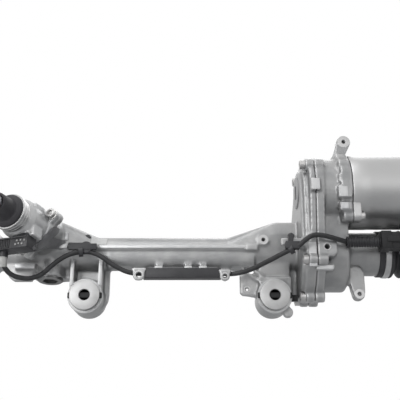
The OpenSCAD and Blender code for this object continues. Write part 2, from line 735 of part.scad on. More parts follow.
module nut_balls() color([0.85, 0.86, 0.88]) on_mounts()
    for (i = [0:ball_turns * balls_per_turn - 1]) let (a = i * 360 / balls_per_turn)
        translate([balls_x0 + screw_lead * i / balls_per_turn, screw_centre_r * cos(a), screw_centre_r * sin(a)])
            sphere(d = ball_d, $fn = 32);

module nut_bearing() color(steel) on_mounts() translate([nut_bearing_x0, 0, 0]) rotate([0, 90, 0])
    bearing(nut_r + slip, nut_bearing_r, 0, nut_bearing_w, 16);

module bearing_lock_ring() color(dark_steel) on_mounts() difference() {
    bar(nut_bearing_r, nut_bearing_x0 - lock_ring_w, nut_bearing_x0);
    bar(nut_r + 8, nut_bearing_x0 - lock_ring_w - 1, nut_bearing_x0 + 1);
    for (k = [0:5]) rotate([k * 60, 0, 0]) bar(2, nut_bearing_x0 - lock_ring_w - 1, nut_bearing_x0 - 2,
        [nut_bearing_r - 4, 0]);
}

// Toothed rim of a pulley, in the plane across its axis
module pulley_outline(r, teeth) {
    depth = belt_pitch * 0.3;
    step = 360 / teeth;
    polygon([for (k = [0:teeth - 1]) for (q = [[r - depth, -0.3], [r, -0.2], [r, 0.2], [r - depth, 0.3]])
        q[0] * [cos((k + q[1]) * step), sin((k + q[1]) * step)]]);
}

module nut_pulley() color(black) on_mounts() difference() {
    union() {
        slab(pulley_x0, pulley_x0 + belt_w + 1) pulley_outline(nut_pulley_r, nut_pulley_teeth);
    }
    bar(nut_r, pulley_x0 - 1, pulley_x0 + belt_w + 3);
    difference() {
        bar(nut_pulley_r - 4, pulley_x0 - 1, pulley_x0 + 5);
        bar(nut_r + 5, pulley_x0 - 2, pulley_x0 + 6);
    }
    difference() {
        bar(nut_pulley_r - 4, pulley_x0 + belt_w - 4, pulley_x0 + belt_w + 2);
        bar(nut_r + 5, pulley_x0 + belt_w - 5, pulley_x0 + belt_w + 3);
    }
}

module motor_pulley() color(dark_steel) on_mounts() difference() {
    union() {
        slab(pulley_x0, pulley_x0 + belt_w + 1) translate(motor_at)
            pulley_outline(motor_pulley_r, motor_pulley_teeth);
    }
    bar(shaft_r, pulley_x0 - 1, pulley_x0 + belt_w + 2, motor_at);
}

module drive_belt() color(black) on_mounts() difference() {
    slab(pulley_x0 + 0.5, pulley_x0 + belt_w + 0.5)
        belt_outline(nut_pulley_r + belt_gap + belt_back, motor_pulley_r + belt_gap + belt_back);
    slab(pulley_x0 - 1, pulley_x0 + belt_w + 2)
        belt_outline(nut_pulley_r + belt_gap, motor_pulley_r + belt_gap);
}

// Motor and control unit

module motor_can() color([0.8, 0.8, 0.81]) on_mounts() difference() {
    union() {
        bar(motor_r, motor_x0, motor_x1, motor_at);
        motor_lugs(motor_x0, motor_x0 + 9);
    }
    bar(motor_r - 2.5, motor_x0 + 2.5, motor_x1 + 1, motor_at);
    bar(15, motor_x0 - 1, motor_x0 + 3, motor_at);
    for (p = motor_bolt_at) bar(2.5, motor_x0 - 1, motor_x0 + 10, p);
}

stator_r = motor_r - 2.5;
rotor_r = 24;
module stator() color([0.55, 0.36, 0.2]) on_mounts() difference() {
    bar(stator_r, motor_x0 + 10, motor_x0 + 68, motor_at);
    bar(rotor_r + 0.5, motor_x0 + 9, motor_x0 + 69, motor_at);
    for (k = [0:11]) translate([0, motor_at[0], motor_at[1]]) rotate([k * 30, 0, 0])
        block([motor_x0 + 9, -2.2, rotor_r], [motor_x0 + 69, 2.2, stator_r - 6]);
}

module motor_rotor() color(steel) on_mounts() {
    bar(rotor_r, motor_x0 + 12, motor_x0 + 66, motor_at);
    bar(shaft_r, pulley_x0 - 1, motor_x1 - 1, motor_at);
}

module motor_bearings() color(steel) on_mounts() for (x = [motor_x0 - 9, motor_x1 - 10])
    translate([x, motor_at[0], motor_at[1]]) rotate([0, 90, 0]) bearing(shaft_r + slip, 15, 0, 9, 8);

// The control unit's outline, cut back where the boot passes below it
module ecu_outline(grow) difference() {
    union() {
        translate(motor_at) circle(motor_r + grow);
        translate([motor_at[0] - 32, cable_end_z - 1]) square([28, 40]);
    }
    circle(boot_big_r + 3);
}

module ecu_housing() color(cast) on_mounts() difference() {
    union() {
        slab(motor_x1, motor_x1 + ecu_split) ecu_outline(0);
        bar(motor_r - 2.5, motor_x1 - 6, motor_x1 + 2, motor_at);
        for (k = [0:5]) slab(motor_x1 + 5 + k * 4, motor_x1 + 7 + k * 4) ecu_outline(4);
    }
    bar(15, motor_x1 - 10, motor_x1 - 1, motor_at);
    bar(8, motor_x1 - 10, motor_x1 + 6, motor_at);
    bar(motor_r - 4, motor_x1 + 5, motor_x1 + ecu_split + 1, motor_at);
}

module ecu_board() color([0.1, 0.35, 0.15]) on_mounts() {
    bar(motor_r - 4, motor_x1 + 16, motor_x1 + 18, motor_at);
    for (k = [0:2]) bar(8, motor_x1 + 5, motor_x1 + 16, motor_at + 24 * [cos(90 + k * 120), sin(90 + k * 120)]);
}

module ecu_cover() color(black) on_mounts() difference() {
    union() {
        slab(motor_x1 + ecu_split, ecu_x1 - 4) ecu_outline(1);
        bar(motor_r - 2, motor_x1 + ecu_split, ecu_x1, motor_at);
    }
    bar(motor_r - 4, motor_x1 + ecu_split - 1, ecu_x1 - 6, motor_at);
}

// The socket block under the motor: the sensor's socket faces left, the car's socket faces right
module ecu_connectors() color([0.45, 0.46, 0.47]) on_mounts() difference() {
    union() {
        block([pod_x, cable_end_y - 13, cable_end_z - 12], [motor_x1, cable_end_y + 11, cable_end_z + 12]);
        block([motor_x1, motor_at[0] - 32, -27], [ecu_x1, motor_at[0] - 8, cable_end_z - 1]);
    }
    block([ecu_x1 - socket_deep, motor_at[0] - 30, -24], [ecu_x1 + 1, motor_at[0] - 10, cable_end_z - 3]);
}

module cable_plug() color(black) on_mounts() {
    block([plug_x, cable_end_y - 11, cable_end_z - 10], [pod_x, cable_end_y + 10, cable_end_z + 11]);
}

module cable_conduit() color(black) on_mounts() difference() {
    for (k = [0:(plug_x - conduit_x0) / conduit_pitch - 1]) translate([conduit_x0 + k * conduit_pitch, 0, 0])
        lathe([cable_end_y, cable_end_z]) polygon([[0, 0], [conduit_r, 0], [conduit_r, 1.6], [conduit_r - 1, 1.9],
            [conduit_r - 1, conduit_pitch], [0, conduit_pitch]]);
    bar(cable_r + 1.6, conduit_x0 - 1, plug_x + 1, [cable_end_y, cable_end_z]);
}

module sensor_cable() color(black) on_mounts() swept(cable_route, cable_r);

module cable_channel() color(black) on_mounts() difference() {
    block([-44, -29, -36], [49, -15.3, -24]);
    block([-45, -30, -34], [50, -20.5, -26]);
}

// A clip around the cable, square to its run
module cable_clip(at) {
    d = heading(cable_route, at);
    translate(cable_route[at]) rotate([0, acos(d[2]), atan2(d[1], d[0])]) difference() {
        cylinder(r = cable_r + 2.8, h = 5, center = true);
        cylinder(r = cable_r + 1.2, h = 6, center = true);
    }
}
clip_left = 10;
clip_right = 28;
bracket_top = 4;
module cable_clips() color(black) on_mounts() {
    cable_clip(clip_left);
    block([-134, -33, 0.2], [-109, -30, 6]);
    cable_clip(clip_right);
    block([126, -67, -6.4], [131.5, -61, bracket_top]);
    block([126, -67, bracket_top], [133, -57, bracket_top + 2]);
    translate([129.5, -61, bracket_top + 2]) intersection() {
        sphere(r = 3.8);
        disc(4, 0, 4);
    }
}

module breather() color(black) on_mounts() bar(4, eye_x(1) + 21, eye_x(1) + 28.5, [-8, -bush_drop - 1]);

// Boots, clamps and tie rods, drawn for the right side

module on_side(side) {
    if (side > 0) translate([right_end, 0, 0]) children();
    else translate([left_end, 0, 0]) mirror([1, 0, 0]) children();
}

fold_first = 8;
fold_pitch = (boot_len - 52) / boot_folds;
fold_depth = 7;
function fold_r(k) = boot_big_r + 1 - 4 * max(0, k - boot_folds + 3);
boot_points = concat([[-boot_seat + 2, boot_big_r], [2, boot_big_r]],
    [for (k = [0:boot_folds - 1]) for (q = [[0, -fold_depth], [0.5, 0]]) [fold_first + (k + q[0]) * fold_pitch,
        fold_r(k) + q[1]]],
    [[fold_first + boot_folds * fold_pitch, 15], [boot_len - 24, 12], [boot_len - 12, rod_r + boot_wall],
        [boot_len, rod_r + boot_wall]]);
module boot(side) color(black) on_mounts() on_side(side) lathe()
    polygon(concat([for (p = boot_points) [p[1], p[0]]],
        [for (i = [len(boot_points) - 1:-1:0]) [boot_points[i][1] - boot_wall, boot_points[i][0]]]));

module band_clamp(r, x0, w) {
    difference() {
        bar(r + clamp_t, x0, x0 + w);
        bar(r, x0 - 1, x0 + w + 1);
    }
    block([x0 + 0.5, -r - 6, -7], [x0 + w - 0.5, -r - clamp_t / 2, 5]);
}

module boot_clamp(side) color(steel) on_mounts() on_side(side) band_clamp(boot_big_r, -8, clamp_w);

module rod_clamp(side) color(steel) on_mounts() on_side(side) difference() {
    bar(rod_r + boot_wall + clamp_t, boot_len - 9, boot_len - 4);
    bar(rod_r + boot_wall, boot_len - 10, boot_len - 3);
}

module ball_socket(side) color(dark_steel) on_mounts() on_side(side) translate([ball_reach, 0, 0]) {
    cavity = joint_ball_r + seat_wall + slip + 0.03;
    difference() {
        union() {
            bar(socket_r, -18, socket_front - 3);
            lathe() polygon([[0, -socket_back], [socket_r - 5, -socket_back], [socket_r, -18], [0, -17]]);
            lathe() polygon([[0, socket_front - 4], [socket_r, socket_front - 4], [socket_r - 3, socket_front],
                [0, socket_front]]);
            bar(stud_r, -socket_back - stud_len, -socket_back);
        }
        sphere(r = cavity);
        lathe() polygon([[0, 0], [10.5, 5], [15.5, socket_front + 1], [0, socket_front + 1]]);
    }
}

module ball_seat(side) color([0.85, 0.84, 0.8]) on_mounts() on_side(side) translate([ball_reach, 0, 0])
    lathe() intersection() {
        difference() {
            circle(joint_ball_r + seat_wall);
            circle(joint_ball_r + slip);
        }
        translate([0, -joint_ball_r - seat_wall - 1]) square([joint_ball_d, joint_ball_r + seat_wall + 6.5]);
    }

module tie_rod(side) color(steel) on_mounts() on_side(side) translate([ball_reach, 0, 0]) {
    sphere(r = joint_ball_r);
    lathe() polygon([[0, 0], [rod_neck_r, 0], [rod_neck_r, 30], [rod_r, 40], [rod_r, rod_len - 72],
        [rod_r + 1.5, rod_len - 71], [rod_r + 1.5, rod_len - 62], [rod_r - 0.5, rod_len - 60],
        [rod_r - 0.5, rod_len - 40], [rod_r - 1.4, rod_len - 39.5], [rod_r - 1.4, rod_len - 38],
        [rod_r - 0.5, rod_len - 37.5], [rod_r - 0.5, rod_len - 2], [rod_r - 2.5, rod_len], [0, rod_len]]);
}

module lock_nut(side) color(steel) on_mounts() on_side(side) translate([ball_reach + rod_len - 52, 0, 0])
    difference() {
        rotate([0, 90, 0]) cylinder(r = 12.7, h = 11, $fn = 6);
        bar(rod_r - 0.5, -1, 12);
    }

rack_housing();
gear_case();
sensor_housing();
sensor_unit();
sensor_connector();
tower_bolts();
dust_cap();
shaft_seal();
pinion_bearings();
yoke();
yoke_spring();
yoke_plug();
yoke_ring();
rack_bushing();
bush_sleeve(-1);  // bush_sleeve_left
bush_sleeve(1);  // bush_sleeve_right
bush_rubber(-1);  // bush_rubber_left
bush_rubber(1);  // bush_rubber_right
flange_bolts();
nut_bearing();
bearing_lock_ring();
motor_can();
stator();
motor_bearings();
ecu_housing();
ecu_cover();
ecu_board();
ecu_connectors();
drive_belt();
shaft_end_cover();
breather();
sensor_cable();
cable_channel();
cable_clips();
cable_conduit();
cable_plug();
boot(-1);  // boot_left
boot(1);  // boot_right
boot_clamp(-1);  // boot_clamp_left
boot_clamp(1);  // boot_clamp_right
rod_clamp(-1);  // rod_clamp_left
rod_clamp(1);  // rod_clamp_right
rack();
pinion_shaft();
input_shaft();
torsion_bar();
ball_nut();
nut_pulley();
nut_balls();
motor_rotor();
motor_pulley();
ball_seat(-1);  // ball_seat_left
ball_seat(1);  // ball_seat_right
ball_socket(-1);  // ball_socket_left
ball_socket(1);  // ball_socket_right
tie_rod(-1);  // tie_rod_left
tie_rod(1);  // tie_rod_right
lock_nut(-1);  // lock_nut_left
lock_nut(1);  // lock_nut_right
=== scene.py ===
# Steering gear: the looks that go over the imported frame
import bpy
import bmesh
import math
import numpy as np
from mathutils import Matrix, Vector
from mathutils.bvhtree import BVHTree


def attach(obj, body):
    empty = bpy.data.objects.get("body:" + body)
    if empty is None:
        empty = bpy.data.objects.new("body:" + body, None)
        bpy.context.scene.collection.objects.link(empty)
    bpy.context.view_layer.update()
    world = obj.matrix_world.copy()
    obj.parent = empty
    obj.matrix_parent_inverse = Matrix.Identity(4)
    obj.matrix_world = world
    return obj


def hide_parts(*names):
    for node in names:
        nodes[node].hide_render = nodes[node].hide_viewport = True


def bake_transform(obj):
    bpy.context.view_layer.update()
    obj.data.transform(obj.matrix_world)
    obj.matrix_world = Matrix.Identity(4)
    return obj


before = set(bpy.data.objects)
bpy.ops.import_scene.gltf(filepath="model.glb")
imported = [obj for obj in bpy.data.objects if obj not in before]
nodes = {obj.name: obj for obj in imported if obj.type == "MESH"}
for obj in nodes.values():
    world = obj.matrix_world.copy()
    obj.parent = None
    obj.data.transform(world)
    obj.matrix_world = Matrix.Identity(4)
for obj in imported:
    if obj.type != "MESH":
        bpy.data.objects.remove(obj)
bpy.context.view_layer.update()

# Pieces are modelled in millimetres about the rack's axis, as the part's source is, and then put in the frame
gearPlace = Matrix.Translation((0, 0.025, 0.0555)) @ Matrix.Scale(0.001, 4)


def turn(angle, axis):
    return Matrix.Rotation(math.radians(angle), 4, axis)


def shift(x, y, z):
    return Matrix.Translation((x, y, z))


# Where the pinion, the motor and the rack's ends lie
pinion = {"x": -159, "tilt": 6, "cross": 20, "height": 16.5}
motorAt = (-32, 69.5)
rackEnds = {"left": -245, "right": 256}

tiltedPlace = shift(pinion["x"], 0, 0) @ turn(-pinion["tilt"], "X") @ shift(0, 0, pinion["height"])
pinionPlace = tiltedPlace @ turn(-pinion["cross"], "Z") @ turn(90, "X")
motorPlace = shift(0, *motorAt) @ turn(90, "Y")
sides = {
    "left": {"way": -1, "place": shift(rackEnds["left"], 0, 0) @ turn(-90, "Y")},
    "right": {"way": 1, "place": shift(rackEnds["right"], 0, 0) @ turn(90, "Y")},
}
acrossRack = Matrix(((0, 0, 1, 0), (1, 0, 0, 0), (0, 1, 0, 0), (0, 0, 0, 1)))  # an outline across the rack, deep along x


def facingFront(x, y, z):
    return shift(x, y, z) @ turn(90, "X")


fromFront = facingFront(0, 0, 0)


def around(centre, radius, angle):
    lean = math.radians(angle)
    return (centre[0] + radius * math.cos(lean), centre[1] + radius * math.sin(lean))


def arc(centre, radius, angles):
    return [around(centre, radius, angle) for angle in angles]


# Two circles and the tangents between them
def linked(a, ra, b, rb, steps=14):
    lean = math.degrees(math.atan2(b[1] - a[1], b[0] - a[0]))
    spread = math.degrees(math.acos((ra - rb) / math.dist(a, b)))
    first = [around(a, ra, lean + spread + (360 - 2 * spread) * k / steps) for k in range(steps + 1)]
    return first + [around(b, rb, lean - spread + 2 * spread * k / steps) for k in range(steps + 1)]


def addToScene(name, data):
    piece = bpy.data.objects.new(name, data)
    bpy.context.scene.collection.objects.link(piece)
    return piece


# Camera

view = {"from": (0.024, -0.8058, -0.1672), "along": (0, 0.9425, 0.3342), "lens": 62.1, "sensor": 36, "near": 0.01}
camera = addToScene("camera", bpy.data.cameras.new("camera"))
camera.location = view["from"]
camera.rotation_euler = Vector(view["along"]).to_track_quat("-Z", "Y").to_euler()
camera.data.lens = view["lens"]
camera.data.sensor_width = view["sensor"]
camera.data.clip_start = view["near"]
bpy.context.scene.camera = camera
bpy.context.scene.view_settings.view_transform = "Standard"
print("camera set")


# Materials

class Wire:
    def __init__(self, tree, socket):
        self.tree, self.socket = tree, socket

    def sum(self, operation, first, second):
        node = self.tree.nodes.new("ShaderNodeMath")
        node.operation = operation
        for place, value in zip(node.inputs, (first, second)):
            if isinstance(value, Wire):
                self.tree.links.new(value.socket, place)
            else:
                place.default_value = value
        return Wire(self.tree, node.outputs[0])

    def __add__(self, other):
        return self.sum("ADD", self, other)

    def __radd__(self, other):
        return self.sum("ADD", other, self)

    def __sub__(self, other):
        return self.sum("SUBTRACT", self, other)

    def __rsub__(self, other):
        return self.sum("SUBTRACT", other, self)

    def __mul__(self, other):
        return self.sum("MULTIPLY", self, other)

    def __rmul__(self, other):
        return self.sum("MULTIPLY", other, self)


class Nodes:
    def __init__(self, tree):
        self.tree = tree

    def node(self, kind, settings=None, inputs=None, output=0):
        node = self.tree.nodes.new("ShaderNode" + kind)
        for name, value in (settings or {}).items():
            setattr(node, name, value)
        for name, value in (inputs or {}).items():
            self.feed(node.inputs[name], value)
        return Wire(self.tree, node.outputs[output])

    def feed(self, socket, value):
        if isinstance(value, Wire):
            self.tree.links.new(value.socket, socket)
        else:
            socket.default_value = value


class Finish(Nodes):
    def __init__(self, name, constants):
        self.material = bpy.data.materials.new(name)
        self.material.use_nodes = True
        super().__init__(self.material.node_tree)
        self.shader = self.tree.nodes["Principled BSDF"]
        for socket, value in constants.items():
            self.shader.inputs[socket].default_value = value
        self.spot = self.node("TexCoord", output="Object")

    def noise(self, scale, detail=2, stretch=None):
        spot = self.spot
        if stretch:
            spot = self.node("Mapping", None, {"Vector": spot, "Scale": stretch})
        return self.node("TexNoise", None, {"Vector": spot, "Scale": scale, "Detail": detail})

    def ramp(self, value, low, high):
        return self.node("MapRange", {"clamp": True}, {"Value": value, "From Min": low, "From Max": high})

    def mix(self, amount, first, second):
        return self.node("Mix", {"data_type": "RGBA"}, {0: amount, 6: first, 7: second}, 2)

    def attribute(self, name):
        return self.node("Attribute", {"attribute_name": name}, None, "Fac")

    def use(self, **sockets):
        for name, value in sockets.items():
            self.feed(self.shader.inputs[name.replace("_", " ")], value)

    def bump(self, height, distance):
        self.use(Normal=self.node("Bump", None, {"Height": height, "Distance": distance, "Strength": 1.0}))


def grey(value, warm=0.0):
    return (value * (1 + warm), value, value * (1 - warm), 1)


# What the finishes share: where noises are cut, and how much specks, painted shade with dirt in hollows, painted
# highlight with wear on ridges, and roughness show
look = {
    "blotch": (0.35, 0.65), "speck": (0.3, 0.7), "speckShare": 0.25, "speckShade": 0.8, "cool": -0.012,
    "hollow": (0.05, 0.6), "shadeAndDirtShare": 0.75, "shadeAndDirtTone": 0.4,
    "ridge": (0.08, 0.5), "highlightAndWearShare": 0.7, "highlightAndWearTone": 1.5,
    "coarseScale": 0.3, "coarseShare": 0.6, "blotchRough": 0.12, "speckRough": 0.04, "wideRough": 0.06, "softRough": 0.1,
}


def castFinish(name, values):
    f = Finish(name, {"Metallic": values["metallic"], "Specular IOR Level": 0.5})
    blotch = f.ramp(f.noise(values["blotch"], 3), *look["blotch"])
    speck = f.ramp(f.noise(values["grain"], 2), *look["speck"])
    colour = f.mix(blotch, grey(values["dark"], look["cool"]), grey(values["light"]))
    colour = f.mix(speck * look["speckShare"], colour, grey(values["dark"] * look["speckShade"]))
    # Hollows are darkened and ridges lightened: painted shade and painted highlight, along with dirt and wear
    if values.get("shadedAndWorn"):
        shadeAndDirt = f.ramp(f.attribute("hollow"), *look["hollow"]) * look["shadeAndDirtShare"]
        highlightAndWear = f.ramp(f.attribute("ridge"), *look["ridge"]) * look["highlightAndWearShare"]
        colour = f.mix(shadeAndDirt, colour, grey(values["dark"] * look["shadeAndDirtTone"]))
        colour = f.mix(highlightAndWear, colour, grey(min(1, values["light"] * look["highlightAndWearTone"])))
    rough = values["rough"] + look["blotchRough"] * blotch - look["speckRough"] * speck
    f.use(Base_Color=colour, Roughness=rough)
    coarse = f.noise(values["grain"] * look["coarseScale"], 2)
    f.bump(f.noise(values["grain"], 3) + look["coarseShare"] * coarse, values["bump"])
    return f.material


def turnedFinish(name, values):
    f = Finish(name, {"Metallic": 1.0})
    warm = values.get("warm", 0)
    fine = f.noise(values["grain"], 2, values.get("stretch"))
    wide = f.ramp(f.noise(values["blotch"], 2), *look["blotch"])
    rough = values["rough"] + look["blotchRough"] * fine + look["wideRough"] * wide
    f.use(Base_Color=f.mix(wide, grey(values["dark"], warm), grey(values["light"], warm)), Roughness=rough)
    f.bump(fine, values["bump"])
    return f.material


def softFinish(name, values):
    f = Finish(name, {"Metallic": 0.0, "Specular IOR Level": values.get("shine", 0.5)})
    wide = f.ramp(f.noise(values["blotch"], 3), *look["blotch"])
    first, second = values["colours"]
    f.use(Base_Color=f.mix(wide, (*first, 1), (*second, 1)), Roughness=values["rough"] + look["softRough"] * wide)
    f.bump(f.noise(values["grain"], 2), values["bump"])
    return f.material


castFinishes = {
    "castAluminium": {"slot": "cast_aluminium", "metallic": 0.65, "dark": 0.30, "light": 0.40, "blotch": 42,
        "grain": 1500, "rough": 0.32, "bump": 0.00022, "shadedAndWorn": True},
    "castBright": {"slot": "machined_aluminium", "metallic": 0.5, "dark": 0.46, "light": 0.56, "blotch": 60,
        "grain": 1700, "rough": 0.36, "bump": 0.00012, "shadedAndWorn": True},
    # Lighter copy of the cast finish, for lands and the eye's ring: a painted highlight on machined faces
    "castLand": {"slot": "machined_aluminium", "metallic": 0.5, "dark": 0.52, "light": 0.62, "blotch": 60,
        "grain": 1700, "rough": 0.36, "bump": 0.00012},
    "castPlain": {"slot": "cast_aluminium", "metallic": 0.35, "dark": 0.30, "light": 0.38, "blotch": 42,
        "grain": 1500, "rough": 0.42, "bump": 0.00018},
}
turnedFinishes = {
    "machinedAluminium": {"slot": "machined_aluminium", "dark": 0.42, "light": 0.50, "blotch": 90, "grain": 1800,
        "rough": 0.28, "bump": 0.00004},
    "motorSteel": {"slot": "motor_can_steel", "dark": 0.46, "light": 0.52, "blotch": 12, "grain": 900,
        "stretch": (1, 0.15, 0.15), "rough": 0.36, "bump": 0.00003},
    "brightSteel": {"slot": "steel", "dark": 0.56, "light": 0.66, "blotch": 120, "grain": 1600, "rough": 0.24,
        "bump": 0.00003},
    "darkSteel": {"slot": "dark_steel", "dark": 0.20, "light": 0.27, "blotch": 110, "grain": 1500, "rough": 0.38,
        "bump": 0.00005},
    "zincSteel": {"slot": "zinc_steel", "dark": 0.46, "light": 0.58, "blotch": 160, "grain": 1400, "rough": 0.30,
        "bump": 0.00005, "warm": 0.01},
    "sleeveSteel": {"slot": "steel", "dark": 0.40, "light": 0.48, "blotch": 70, "grain": 1700, "rough": 0.42,
        "bump": 0.00006},
    "stainless": {"slot": "stainless", "dark": 0.46, "light": 0.56, "blotch": 60, "grain": 1300,
        "stretch": (1, 0.1, 0.1), "rough": 0.24, "bump": 0.00003},
    "copperWinding": {"slot": "copper", "dark": 0.42, "light": 0.55, "blotch": 90, "grain": 1100, "rough": 0.35,
        "bump": 0.0001, "warm": 0.4},
}
softFinishes = {
    "blackPlastic": {"slot": "black_plastic", "colours": ((0.022, 0.022, 0.025), (0.034, 0.034, 0.037)),
        "blotch": 60, "grain": 2200, "rough": 0.42, "bump": 0.00006},
    "plugBlack": {"slot": "black_plastic", "colours": ((0.010, 0.010, 0.011), (0.017, 0.017, 0.018)), "blotch": 60,
        "grain": 2200, "rough": 0.5, "bump": 0.00006, "shine": 0.35},
    "greyPlastic": {"slot": "grey_plastic", "colours": ((0.16, 0.165, 0.17), (0.2, 0.205, 0.21)), "blotch": 40,
        "grain": 2000, "rough": 0.45, "bump": 0.00006},
    "paleSleeve": {"slot": "white_plastic", "colours": ((0.42, 0.42, 0.40), (0.55, 0.55, 0.53)), "blotch": 260,
        "grain": 1500, "rough": 0.6, "bump": 0.0002},
    "whitePlastic": {"slot": "white_plastic", "colours": ((0.72, 0.71, 0.67), (0.8, 0.79, 0.76)), "blotch": 60,
        "grain": 1800, "rough": 0.4, "bump": 0.00004},
    "whiteLabel": {"slot": "white_plastic", "colours": ((0.62, 0.62, 0.61), (0.68, 0.68, 0.67)), "blotch": 200,
        "grain": 1500, "rough": 0.55, "bump": 0.00003},
    "rubber": {"slot": "rubber", "colours": ((0.016, 0.016, 0.017), (0.032, 0.032, 0.033)), "blotch": 90,
        "grain": 1300, "rough": 0.62, "bump": 0.00012, "shine": 0.35},
    # Dark grey of the band laid over the tower's web: painted shade
    "strapRubber": {"slot": "rubber", "colours": ((0.15, 0.15, 0.155), (0.19, 0.19, 0.195)), "blotch": 90,
        "grain": 1500, "rough": 0.55, "bump": 0.0001, "shine": 0.4},
    "capRubber": {"slot": "rubber", "colours": ((0.028, 0.027, 0.031), (0.04, 0.039, 0.043)), "blotch": 70,
        "grain": 1200, "rough": 0.55, "bump": 0.0001, "shine": 0.4},
    "bootRubber": {"slot": "boot_rubber", "colours": ((0.026, 0.026, 0.028), (0.042, 0.042, 0.045)), "blotch": 50,
        "grain": 1500, "rough": 0.5, "bump": 0.0001, "shine": 0.4},
    # Near-black for the lining of the bushes' bores: painted shade
    "boreBlack": {"slot": "rubber", "colours": ((0.004, 0.004, 0.004), (0.006, 0.006, 0.006)), "blotch": 60,
        "grain": 1500, "rough": 0.9, "bump": 0.00004, "shine": 0.1},
    "cableJacket": {"slot": "cable_jacket", "colours": ((0.02, 0.02, 0.021), (0.034, 0.034, 0.036)), "blotch": 130,
        "grain": 2400, "rough": 0.45, "bump": 0.00008, "shine": 0.4},
    "boardGreen": {"slot": "board_green", "colours": ((0.01, 0.09, 0.03), (0.02, 0.14, 0.05)), "blotch": 300,
        "grain": 900, "rough": 0.35, "bump": 0.0001},
    "beltRubber": {"slot": "rubber", "colours": ((0.015, 0.015, 0.016), (0.03, 0.03, 0.031)), "blotch": 300,
        "grain": 1700, "rough": 0.7, "bump": 0.0002, "shine": 0.3},
}

finishes, slotOf = {}, {}
for make, table in ((castFinish, castFinishes), (turnedFinish, turnedFinishes), (softFinish, softFinishes)):
    for name, values in table.items():
        finishes[name] = make(name, values)
        slotOf[name] = values["slot"]
print("materials made")


# Making and finishing a piece

making = {"crease": 30, "bevelSteps": 2, "join": 0.002, "lineJoin": 0.0005}


def soften(bm, offset):
    crease = math.radians(making["crease"])
    edges = [e for e in bm.edges if len(e.link_faces) == 2 and e.calc_face_angle(0) > crease]
    bmesh.ops.bevel(bm, geom=edges, offset=offset, segments=making["bevelSteps"], profile=0.5, affect="EDGES",
        material=-1, clamp_overlap=True)


def dress(piece, finish, body="root", stands=()):
    piece.data.materials.clear()
    piece.data.materials.append(finishes[finish])
    if body:
        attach(piece, body)
    if stands:
        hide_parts(*stands)
    return piece


def keep(bm, name, finish, body="root", place=None, stands=(), sharp=35, bevel=None):
    if bevel:
        soften(bm, bevel)
    bmesh.ops.remove_doubles(bm, verts=bm.verts, dist=making["join"])
    bmesh.ops.recalc_face_normals(bm, faces=bm.faces)
    bm.transform(gearPlace @ place if place else gearPlace)
    mesh = bpy.data.meshes.new(name)
    bm.to_mesh(mesh)
    bm.free()
    mesh.shade_smooth()
    mesh.set_sharp_from_angle(angle=math.radians(sharp))
    return dress(addToScene(name, mesh), finish, body, stands)


def turned(bm, profile, steps=96, place=None):
    before = set(bm.verts)
    ring = [bm.verts.new((r, 0, z)) for r, z in profile]
    edges = [bm.edges.new(pair) for pair in zip(ring, ring[1:])]
    if profile[0][0] > 0 or profile[-1][0] > 0:
        edges.append(bm.edges.new((ring[-1], ring[0])))
    bmesh.ops.spin(bm, geom=ring + edges, cent=(0, 0, 0), axis=(0, 0, 1), angle=2 * math.pi, steps=steps, use_merge=True)
    fresh = [v for v in bm.verts if v not in before]
    bmesh.ops.remove_doubles(bm, verts=fresh, dist=making["lineJoin"])
    if place:
        bmesh.ops.transform(bm, matrix=place, verts=[v for v in bm.verts if v not in before])


def box(bm, low, high):
    size = [b - a for a, b in zip(low, high)]
    middle = [(a + b) / 2 for a, b in zip(low, high)]
    bmesh.ops.create_cube(bm, size=1, matrix=Matrix.Translation(middle) @ Matrix.Diagonal((*size, 1)))


def rod(bm, radius, low, high, place, steps):
    bmesh.ops.create_cone(bm, cap_ends=True, segments=steps, radius1=radius, radius2=radius, depth=high - low,
        matrix=place @ shift(0, 0, (low + high) / 2))


def outline(bm, points, low, high, place):
    base = [bm.verts.new((x, y, low)) for x, y in points]
    moved = bmesh.ops.extrude_face_region(bm, geom=[bm.faces.new(base)])["geom"]
    top = [v for v in moved if isinstance(v, bmesh.types.BMVert)]
    bmesh.ops.translate(bm, vec=(0, 0, high - low), verts=top)
    bmesh.ops.transform(bm, matrix=place, verts=base + top)


def finalMesh(piece):
    bpy.context.view_layer.update()
    return bpy.data.meshes.new_from_object(piece.evaluated_get(bpy.context.evaluated_depsgraph_get()))


# Castings: a copy of the node, remeshed so that its edges and corners run out as a casting's do

def castPiece(name, node, values, extras=None):
    bm = bmesh.new()
    bm.from_mesh(nodes[node].data)
    bmesh.ops.remove_doubles(bm, verts=bm.verts, dist=1e-6)
    if extras:
        more = bmesh.new()
        extras(more)
        more.transform(gearPlace)
        bmesh.ops.recalc_face_normals(more, faces=more.faces)
        spare = bpy.data.meshes.new("spare")
        more.to_mesh(spare)
        more.free()
        bm.from_mesh(spare)
        bpy.data.meshes.remove(spare)
    mesh = bpy.data.meshes.new(name)
    bm.to_mesh(mesh)
    bm.free()
    piece = addToScene(name, mesh)
    remesh = piece.modifiers.new("remesh", "REMESH")
    remesh.mode = "VOXEL"
    remesh.voxel_size = values["voxel"] * 0.001
    smooth = piece.modifiers.new("smooth", "SMOOTH")
    smooth.factor, smooth.iterations = 0.5, values["smooth"]
    piece.modifiers.new("thin", "DECIMATE").ratio = values["thin"]
    done = finalMesh(piece)
    piece.modifiers.clear()
    piece.data = done
    done.name = name
    done.shade_smooth()
    markEdges(done)
    print(name, len(done.polygons), "faces")
    return dress(piece, values["finish"], "root", (node,))


# Two attributes that say where the surface is a ridge and where a hollow, for a painted highlight with wear on ridges
# and painted shade with dirt in hollows
edgeMarks = {"passes": 2, "gain": 2.4}


